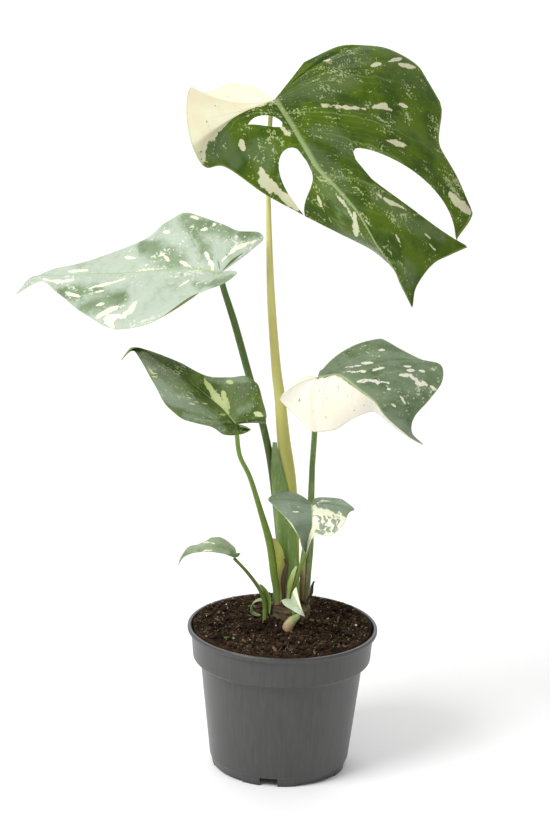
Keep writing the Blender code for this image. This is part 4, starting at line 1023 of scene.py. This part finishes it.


# Strokes are (width in mm, (side, vein, out), ...): where the cream, the painted sheen, the green and the
# darker parts with less painted sheen are laid, side 1 being the leaf's right. Patches are (side, first
# vein, last vein, first out, last out).
looks = {
    "top_leaf": dict(
        seed=1.0, flecks=0.47, fleckSize=0.6, fleckDepth=0.7, tear=0.4, streakDepth=0.7, paintedSheenDepth=0.5,
        fleckColour=(0.45, 0.5, 0.24),
        colours=dict(deep=(0.036, 0.074, 0.001), green=(0.082, 0.138, 0.002), silver=(0.13, 0.18, 0.08),
                     cream=(0.78, 0.7, 0.49), vein=(0.2, 0.3, 0.1), margin=(0.24, 0.34, 0.07)),
        patches=[(1, -1, .455, -1, 2)],
        cream=[(9, (-1, .46, .17), (-1, .46, .34), (-1, .45, .51)), (6, (-1, .49, .17), (-1, .51, .24)),
               (5, (-1, .37, .03), (-1, .4, .19), (-1, .38, .42)),
               (8, (-1, .44, .56), (-1, .43, .64), (-1, .44, .71)), (6, (-1, .57, .51), (-1, .55, .66)),
               (7, (-1, .76, .02), (-1, .78, .12), (-1, .8, .25)),
               (6, (-1, .8, .25), (-1, .81, .36), (-1, .81, .51)),
               (4, (1, .75, .39), (1, .76, .54), (1, .78, .78)),
               (9, (1, .81, .63), (1, .81, .29), (1, .8, .05)),
               (5, (1, .74, .02), (1, .79, .1), (1, .82, .39)),
               (13, (-1, .63, .85), (-1, .63, .93), (-1, .63, .98)), (5, (-1, .29, .8), (-1, .27, .95)),
               (8, (-1, .3, .86), (-1, .3, .97)), (6, (-1, .31, .66), (-1, .3, .73)),
               (6, (-1, .42, .73), (-1, .42, .78)), (5, (-1, .16, .56), (-1, .2, .54)),
               (17, (1, .6, .73), (1, .61, .83), (1, .64, .8)),
               (12, (1, .62, .81), (1, .65, .85), (1, .67, .92)), (9, (1, .55, .68), (1, .56, .73)),
               (9, (1, .56, .12), (1, .58, .07)), (4, (-1, .75, .22), (-1, .76, .29)),
               (5, (-1, .84, .81), (-1, .84, .9)), (4, (-1, .85, .01), (-1, .87, .07)),
               (5, (-1, .44, .97), (-1, .45, .98)), (4, (-1, .87, .41), (-1, .88, .47)),
               (4, (-1, .83, .73), (-1, .83, .8))],
        silver=[(26, (1, .46, .93), (1, .51, .8), (1, .55, .9)),
                (22, (1, .57, .71), (1, .6, .46), (1, .61, .64)),
                (24, (-1, .39, .05), (-1, .39, .25), (-1, .37, .49)), (16, (-1, .25, .47), (-1, .27, .69)),
                (20, (-1, .73, .02), (-1, .81, .06)), (20, (1, .72, .02), (1, .8, .12)),
                (18, (-1, .91, .63), (-1, .94, .75)), (18, (-1, .8, .25), (-1, .83, .51), (-1, .81, .86)),
                (18, (-1, .65, .08), (-1, .66, .2), (-1, .69, .29))]),
    "left_leaf": dict(
        seed=2.0, flecks=0.42, fleckSize=0.8, fleckDepth=0.65, paintedSheenShare=0.58, paintedSheenDepth=0.85,
        glow=0.06, fleckColour=(0.72, 0.75, 0.6),
        colours=dict(deep=(0.13, 0.19, 0.095), green=(0.2, 0.27, 0.16), silver=(0.45, 0.51, 0.43),
                     cream=(0.84, 0.82, 0.7), vein=(0.42, 0.52, 0.34), margin=(0.42, 0.5, 0.26),
                     under=(0.16, 0.24, 0.05)),
        cream=[(11, (-1, .62, .98), (-1, .65, .92), (-1, .64, .81)),
               (9, (-1, .67, .95), (-1, .67, .81), (-1, .66, .68)),
               (8, (-1, .63, .83), (-1, .63, .71), (-1, .64, .53)), (7, (1, .74, .37), (1, .73, .19)),
               (6, (1, .7, .12), (1, .67, .01)), (9, (1, .62, .25), (1, .61, .1), (1, .61, .02)),
               (7, (1, .65, .08), (1, .65, .01)), (7, (-1, .8, .27), (-1, .83, .59), (-1, .88, .75)),
               (5, (-1, .75, .49), (-1, .73, .32), (-1, .7, .14)), (5, (-1, .7, .78), (-1, .69, .71)),
               (6, (-1, .78, .86), (-1, .75, .75)), (6, (1, .44, .19), (1, .33, .58), (1, .2, .88)),
               (4, (-1, .58, .29), (-1, .57, .17)), (5, (1, .78, .02), (1, .74, .02)),
               (5, (1, .58, .9), (1, .53, .86)), (7, (1, .7, .86), (1, .69, .78)),
               (6, (1, .6, .61), (1, .48, .71)), (6, (1, .46, .81), (1, .44, .92)),
               (5, (1, .79, .58), (1, .78, .46)), (5, (-1, .74, .59), (-1, .72, .46)),
               (5, (1, .87, .31), (1, .84, .24))],
        darker=[(22, (1, .61, .9), (1, .52, .68), (1, .38, .9)),
                (22, (1, .76, .81), (1, .74, .29), (1, .71, .1)),
                (24, (-1, .72, .92), (-1, .7, .69), (-1, .67, .54)),
                (16, (-1, .54, .24), (-1, .24, .78), (-1, .15, .88)),
                (16, (-1, .8, .97), (-1, .76, .63), (-1, .73, .44)),
                (16, (1, .63, .68), (1, .62, .36), (1, .61, .19)), (12, (1, .33, .92), (1, .24, .93))]),
    "lower_left_leaf": dict(
        seed=3.0, flecks=0.5, fleckSize=0.6, fleckDepth=0.6, paintedSheenShare=0.05, paintedSheenDepth=0.7,
        creamTint=(0.4, 0.46, 0.17), fleckColour=(0.4, 0.46, 0.24), tear=0.35,
        colours=dict(deep=(0.042, 0.072, 0.008), green=(0.08, 0.125, 0.02), silver=(0.17, 0.23, 0.14),
                     cream=(0.52, 0.56, 0.27), vein=(0.16, 0.22, 0.08), margin=(0.24, 0.3, 0.12)),
        cream=[(11, (1, .63, .68), (1, .58, .19), (1, .54, .12), (1, .48, .03)),
               (10, (1, .55, .42), (1, .53, .22), (1, .49, .12)), (8, (1, .55, .17), (1, .49, .03)),
               (5, (-1, .76, .86), (-1, .74, .86), (-1, .74, .73)), (5, (-1, .73, .93), (-1, .73, .83)),
               (6, (-1, .63, .24), (-1, .64, .06)), (7, (1, .24, .64), (1, .2, .86)),
               (5, (-1, .65, .58), (-1, .65, .51)), (5, (-1, .66, .34), (-1, .66, .25)),
               (4, (-1, .66, .47), (-1, .66, .41)), (4, (-1, .67, .54), (-1, .67, .47)),
               (5, (1, .55, .83), (1, .53, .8))],
        silver=[(20, (-1, .72, .85), (-1, .66, .88), (-1, .63, .78)),
                (24, (-1, .67, .69), (-1, .64, .56), (-1, .62, .37)),
                (18, (-1, .56, .83), (-1, .49, .71), (-1, .36, .83)),
                (10, (1, .63, .93), (1, .58, 1), (1, .46, .9)), (14, (-1, .78, 1), (-1, .74, .97)),
                (10, (1, .42, .24), (1, .31, .56))]),
    "right_leaf": dict(
        seed=4.0, flecks=0.42, fleckSize=0.62, fleckDepth=0.6, paintedSheenShare=0.45, paintedSheenDepth=0.6,
        creamTint=(0.78, 0.73, 0.6),
        colours=dict(deep=(0.05, 0.085, 0.022), green=(0.09, 0.135, 0.045), silver=(0.22, 0.28, 0.19),
                     cream=(0.74, 0.71, 0.62), vein=(0.2, 0.28, 0.15), margin=(0.3, 0.36, 0.16),
                     under=(0.3, 0.36, 0.16)),
        patches=[(1, -1, 2, .02, 2)],
        cream=[(6, (-1, .47, .02), (-1, .57, .12), (-1, .61, .29), (-1, .61, .41)),
               (9, (-1, .63, .07), (-1, .66, .2), (-1, .69, .36)),
               (8, (-1, .66, .53), (-1, .67, .66), (-1, .69, .75)), (11, (-1, .7, .73), (-1, .7, .85)),
               (6, (-1, .7, .9), (-1, .71, .98)), (4, (-1, .48, .14), (-1, .53, .24)),
               (4, (-1, .51, .29), (-1, .55, .36)), (4, (-1, .62, .61), (-1, .62, .68)),
               (4, (-1, .64, .63), (-1, .64, .71)), (4, (-1, .64, .75), (-1, .64, .81)),
               (4, (-1, .76, .51), (-1, .79, .63)), (4, (-1, .72, .32), (-1, .72, .36)),
               (5, (-1, .61, .01), (-1, .65, .12)), (4, (-1, .42, .75), (-1, .42, .81)),
               (4, (-1, .79, .31), (-1, .8, .41))]),
    "centre_leaf": dict(
        seed=5.0, flecks=0.4, fleckSize=0.6, fleckDepth=0.55, paintedSheenShare=0.5, paintedSheenDepth=0.7,
        colours=dict(deep=(0.07, 0.11, 0.045), green=(0.11, 0.16, 0.075), silver=(0.22, 0.29, 0.21),
                     cream=(0.88, 0.86, 0.72), vein=(0.24, 0.32, 0.18), margin=(0.4, 0.44, 0.26)),
        patches=[(-1, .5, 2, -1, 2)],
        cream=[(4, (-1, .5, .03), (-1, .27, .32), (-1, .29, .53)), (3, (1, .64, .61), (1, .64, .42)),
               (3, (1, .66, 1), (1, .7, 1), (1, .75, 1)), (3, (1, .8, .9), (1, .9, .9))],
        green=[(6, (-1, .57, .15), (-1, .61, .36), (-1, .65, .75)),
               (6, (-1, .56, .37), (-1, .6, .58), (-1, .63, .9)),
               (6, (-1, .55, .51), (-1, .56, .76), (-1, .6, 1)), (6, (-1, .74, .54), (-1, .66, .9)),
               (5, (-1, .53, .61), (-1, .54, .83))]),
    "small_left_leaf": dict(
        seed=6.0, flecks=0.4, fleckSize=0.6, fleckDepth=0.5, paintedSheenShare=0.5, paintedSheenDepth=0.7,
        colours=dict(deep=(0.06, 0.11, 0.03), green=(0.1, 0.17, 0.05), silver=(0.4, 0.46, 0.32),
                     vein=(0.25, 0.35, 0.15), margin=(0.3, 0.38, 0.14)),
        cream=[(5, (-1, .55, .5), (-1, .6, .9)), (4, (1, .6, .5), (1, .65, .9))]),
    "baby_leaf": dict(
        seed=7.0, flecks=0.3, fleckSize=0.5, paintedSheenShare=0.6, paintedSheenDepth=0.8,
        colours=dict(deep=(0.2, 0.28, 0.13), green=(0.26, 0.34, 0.18), silver=(0.5, 0.57, 0.42)),
        patches=[(-1, -1, 2, .55, 2)]),
}
for node in looks:
    first, *others = node.split("_")
    name = first + "".join(word.capitalize() for word in others)
    makeLeaf(name, node, fine=12 if node in ("top_leaf", "left_leaf") else 13)


# Satin skin: a colour that runs down the piece, and fine lengthwise streaks and freckles of a second.
def makeSkin(name, ramp, streak=0.25, streakColour=(0.5, 0.55, 0.25), roughness=0.38):
    material, tree, shader = newMaterial(name, **{"Roughness": roughness, "Specular IOR Level": 0.28})
    place = objectPlace(tree)
    along = surfaceShares(tree, surfaceMap(tree))[1]
    fade = addNode(tree, "ValToRGB", {"Fac": along + (noiseValue(tree, place, 60, detail=3) - 0.5) * 0.12})
    elements = fade.color_ramp.elements
    while len(elements) < len(ramp):
        elements.new(0.5)
    for element, (position, colour) in zip(elements, ramp):
        element.position, element.color = position, (*colour, 1)
    streaks = noiseValue(tree, place, 150, stretch=(4, 4, 0.25), detail=4)
    freckles = noiseValue(tree, place, 500, stretch=(1, 1, 0.4), detail=2)
    colour = fade.outputs["Color"]
    colour = mixColour(tree, softStep(tree, streaks, 0.45, 0.75) * streak, colour, streakColour)
    colour = mixColour(tree, softStep(tree, freckles, 0.6, 0.72) * streak, colour, streakColour)
    finishShader(tree, shader, colour, streaks, 0.0003, 0.4)
    addGlow(shader, 0.1, 0.7)
    return material


# Each stalk's colours by their share of the way down, and the depth of its streaks.
print("stalks and sheaths")
darkGreen, midGreen = (0.05, 0.085, 0.008), (0.12, 0.18, 0.02)
stalkLooks = {
    "topStalk": ([(0.0, (0.5, 0.52, 0.2)), (0.35, (0.62, 0.57, 0.2)), (0.75, (0.45, 0.45, 0.1)),
                  (1.0, (0.26, 0.33, 0.05))], 0.15),
    "leftStalk": ([(0.0, (0.2, 0.3, 0.1)), (0.15, (0.07, 0.13, 0.02)), (0.6, darkGreen), (1.0, midGreen)],
                  0.1),
    "lowerLeftStalk": ([(0.0, (0.26, 0.36, 0.06)), (0.25, (0.14, 0.24, 0.03)), (0.7, midGreen),
                        (0.93, (0.13, 0.2, 0.04)), (1.0, (0.25, 0.16, 0.09))], 0.12),
    "rightStalk": ([(0.0, (0.35, 0.4, 0.2)), (0.3, (0.13, 0.2, 0.05)), (0.7, (0.09, 0.16, 0.03)),
                    (1.0, (0.16, 0.13, 0.05))], 0.25),
    "centreStalk": ([(0.0, (0.4, 0.45, 0.2)), (0.3, midGreen), (1.0, (0.17, 0.27, 0.06))], 0.15),
    "smallLeftStalk": ([(0.0, (0.09, 0.17, 0.03)), (0.5, midGreen), (1.0, (0.2, 0.28, 0.07))], 0.12),
    "babyStalk": ([(0.0, (0.3, 0.4, 0.15)), (1.0, (0.25, 0.34, 0.1))], 0.1),
}
for (name, (ramp, streak)), node in zip(stalkLooks.items(), stalks):
    rings = tubeRings(*stalkLine(node, 8), 28)
    makeRings(name, rings, makeSkin(name + "Skin", ramp, streak), node=node, slot="stalk")

# Each sheath's colours by their share of the way down, and the depth and colour of its streaks.
sheathLooks = {
    "leftSheath": ([(0.0, (0.3, 0.38, 0.2)), (0.2, (0.16, 0.25, 0.08)), (0.6, (0.13, 0.22, 0.04)),
                    (1.0, (0.22, 0.3, 0.07))], 0.35, (0.4, 0.46, 0.22)),
    "lowerLeftSheath": ([(0.0, (0.42, 0.4, 0.1)), (0.4, (0.33, 0.36, 0.06)), (1.0, (0.3, 0.28, 0.08))],
                        0.35, (0.5, 0.46, 0.16)),
    "rightSheath": ([(0.0, (0.5, 0.36, 0.2)), (0.5, (0.45, 0.33, 0.18)), (1.0, (0.2, 0.14, 0.06))],
                    0.4, (0.62, 0.5, 0.33)),
    "centreSheath": ([(0.0, (0.45, 0.5, 0.25)), (0.4, (0.26, 0.34, 0.08)), (1.0, (0.2, 0.24, 0.06))],
                     0.3, (0.5, 0.55, 0.3)),
    "smallLeftSheath": ([(0.0, (0.3, 0.38, 0.12)), (0.5, (0.18, 0.3, 0.06)), (1.0, (0.24, 0.32, 0.1))],
                        0.25, (0.4, 0.5, 0.2)),
}
for (name, skin), node in zip(sheathLooks.items(), sheaths):
    makeSheath(name, node, makeSkin(name + "Skin", *skin))

dryBrown = makeSkin("dryBract", [(0.0, (0.06, 0.03, 0.018)), (1.0, (0.035, 0.02, 0.012))],
                    0.3, (0.14, 0.085, 0.05), 0.75)
deadBrown = makeSkin("deadScrap", [(0.0, (0.04, 0.022, 0.014)), (1.0, (0.06, 0.035, 0.02))],
                     0.3, (0.16, 0.1, 0.06), 0.8)
leafletSkin = makeSkin("leafletSkin", [(0.0, (0.2, 0.3, 0.1)), (0.6, (0.3, 0.4, 0.19)),
                                       (1.0, (0.42, 0.46, 0.25))], 0.3, (0.4, 0.5, 0.3), 0.45)
makeScrap("driedBract", "dried_bract", dryBrown, "dry_scrap")
makeScrap("deadTip", "dead_scrap", deadBrown, "dry_scrap")
makeScrap("curledLeaflet", "curled_leaflet", leafletSkin, "leaf", cup=0.3)

shoot = pathThrough([(14.5, -20, -1, 1.2), (12.5, -20, -4, 2.8), (8, -20.5, -8, 4.2), (4.5, -21, -14, 4.6),
                     (4, -21, -24, 3.6)], np.linspace(0, 1, 40))
shootSkin = makeSkin("shootSkin", [(0.0, (0.42, 0.5, 0.22)), (0.45, (0.3, 0.36, 0.14)),
                                   (0.7, (0.42, 0.28, 0.17)), (1.0, (0.2, 0.12, 0.07))],
                     0.25, (0.6, 0.6, 0.4))
rings = tubeRings(inPlant(shoot[:, :3]), shoot[:, 3], 32)
makeRings("sideShoot", rings, shootSkin, node="side_shoot", slot="stalk")

# Distance and height in metres, angles in degrees, the lens in millimetres, light in watts.
view = dict(distance=2.4, height=1.03547, pitch=16.532, yaw=-0.284, roll=1.619, lens=122.97)
studio = dict(world=0.54, key=50.0, fill=2.5, floor=1150.0)
print("studio")


def makeFloor():
    material, tree, shader = newMaterial("paleFloor", **{"Roughness": 0.85, "Specular IOR Level": 0.1})
    shader.inputs["Base Color"].default_value = (0.97, 0.97, 0.97, 1)
    mesh = bpy.data.meshes.new("floor")
    corners = [(x, y, -0.0002) for x, y in ((-14, -6), (14, -6), (14, 26), (-14, 26))]
    mesh.from_pydata(corners, [], [(0, 1, 2, 3)])
    mesh.materials.append(material)
    floor = bpy.data.objects.new("floor", mesh)
    scene.collection.objects.link(floor)


def addSoftLight(name, place, target, size, power):
    light = bpy.data.lights.new(name, "AREA")
    light.shape, light.size, light.energy = "DISK", size, power
    lamp = bpy.data.objects.new(name, light)
    lamp.location = place
    lamp.rotation_euler = (Vector(target) - Vector(place)).to_track_quat("-Z", "Y").to_euler()
    scene.collection.objects.link(lamp)


makeFloor()
world = bpy.data.worlds.new("studio")
world.use_nodes = True
world.node_tree.nodes["Background"].inputs["Color"].default_value = (1, 1, 1, 1)
world.node_tree.nodes["Background"].inputs["Strength"].default_value = studio["world"]
scene.world = world
addSoftLight("keyLight", (-1.3, -1.1, 1.9), (0.03, 0, 0.35), 1.3, studio["key"])
addSoftLight("fillLight", (1.5, -1.2, 0.9), (0.03, 0, 0.3), 1.2, studio["fill"])
addSoftLight("floorLight", (0, 12, 6), (0, 12.01, 0), 18, studio["floor"])
scene.view_settings.view_transform = "Standard"
scene.view_settings.look = "None"

# The camera looks along the direction given by pitch and yaw, and is turned by roll about it.
cameraData = bpy.data.cameras.new("camera")
cameraData.lens, cameraData.sensor_width, cameraData.clip_end = view["lens"], 36, 100
camera = bpy.data.objects.new("camera", cameraData)
scene.collection.objects.link(camera)
pitch, yaw, roll = (math.radians(view[angle]) for angle in ("pitch", "yaw", "roll"))
forward = np.array([math.sin(yaw) * math.cos(pitch), math.cos(yaw) * math.cos(pitch), -math.sin(pitch)])
right = unit(np.cross(forward, [0, 0, 1]))
up = np.cross(right, forward)
axes = [math.cos(roll) * right + math.sin(roll) * up, -math.sin(roll) * right + math.cos(roll) * up, -forward]
place = (potAxis[0] * mm, potAxis[1] * mm - view["distance"], view["height"])
camera.matrix_world = Matrix.Translation(place) @ Matrix(np.column_stack(axes).tolist()).to_4x4()
scene.camera = camera
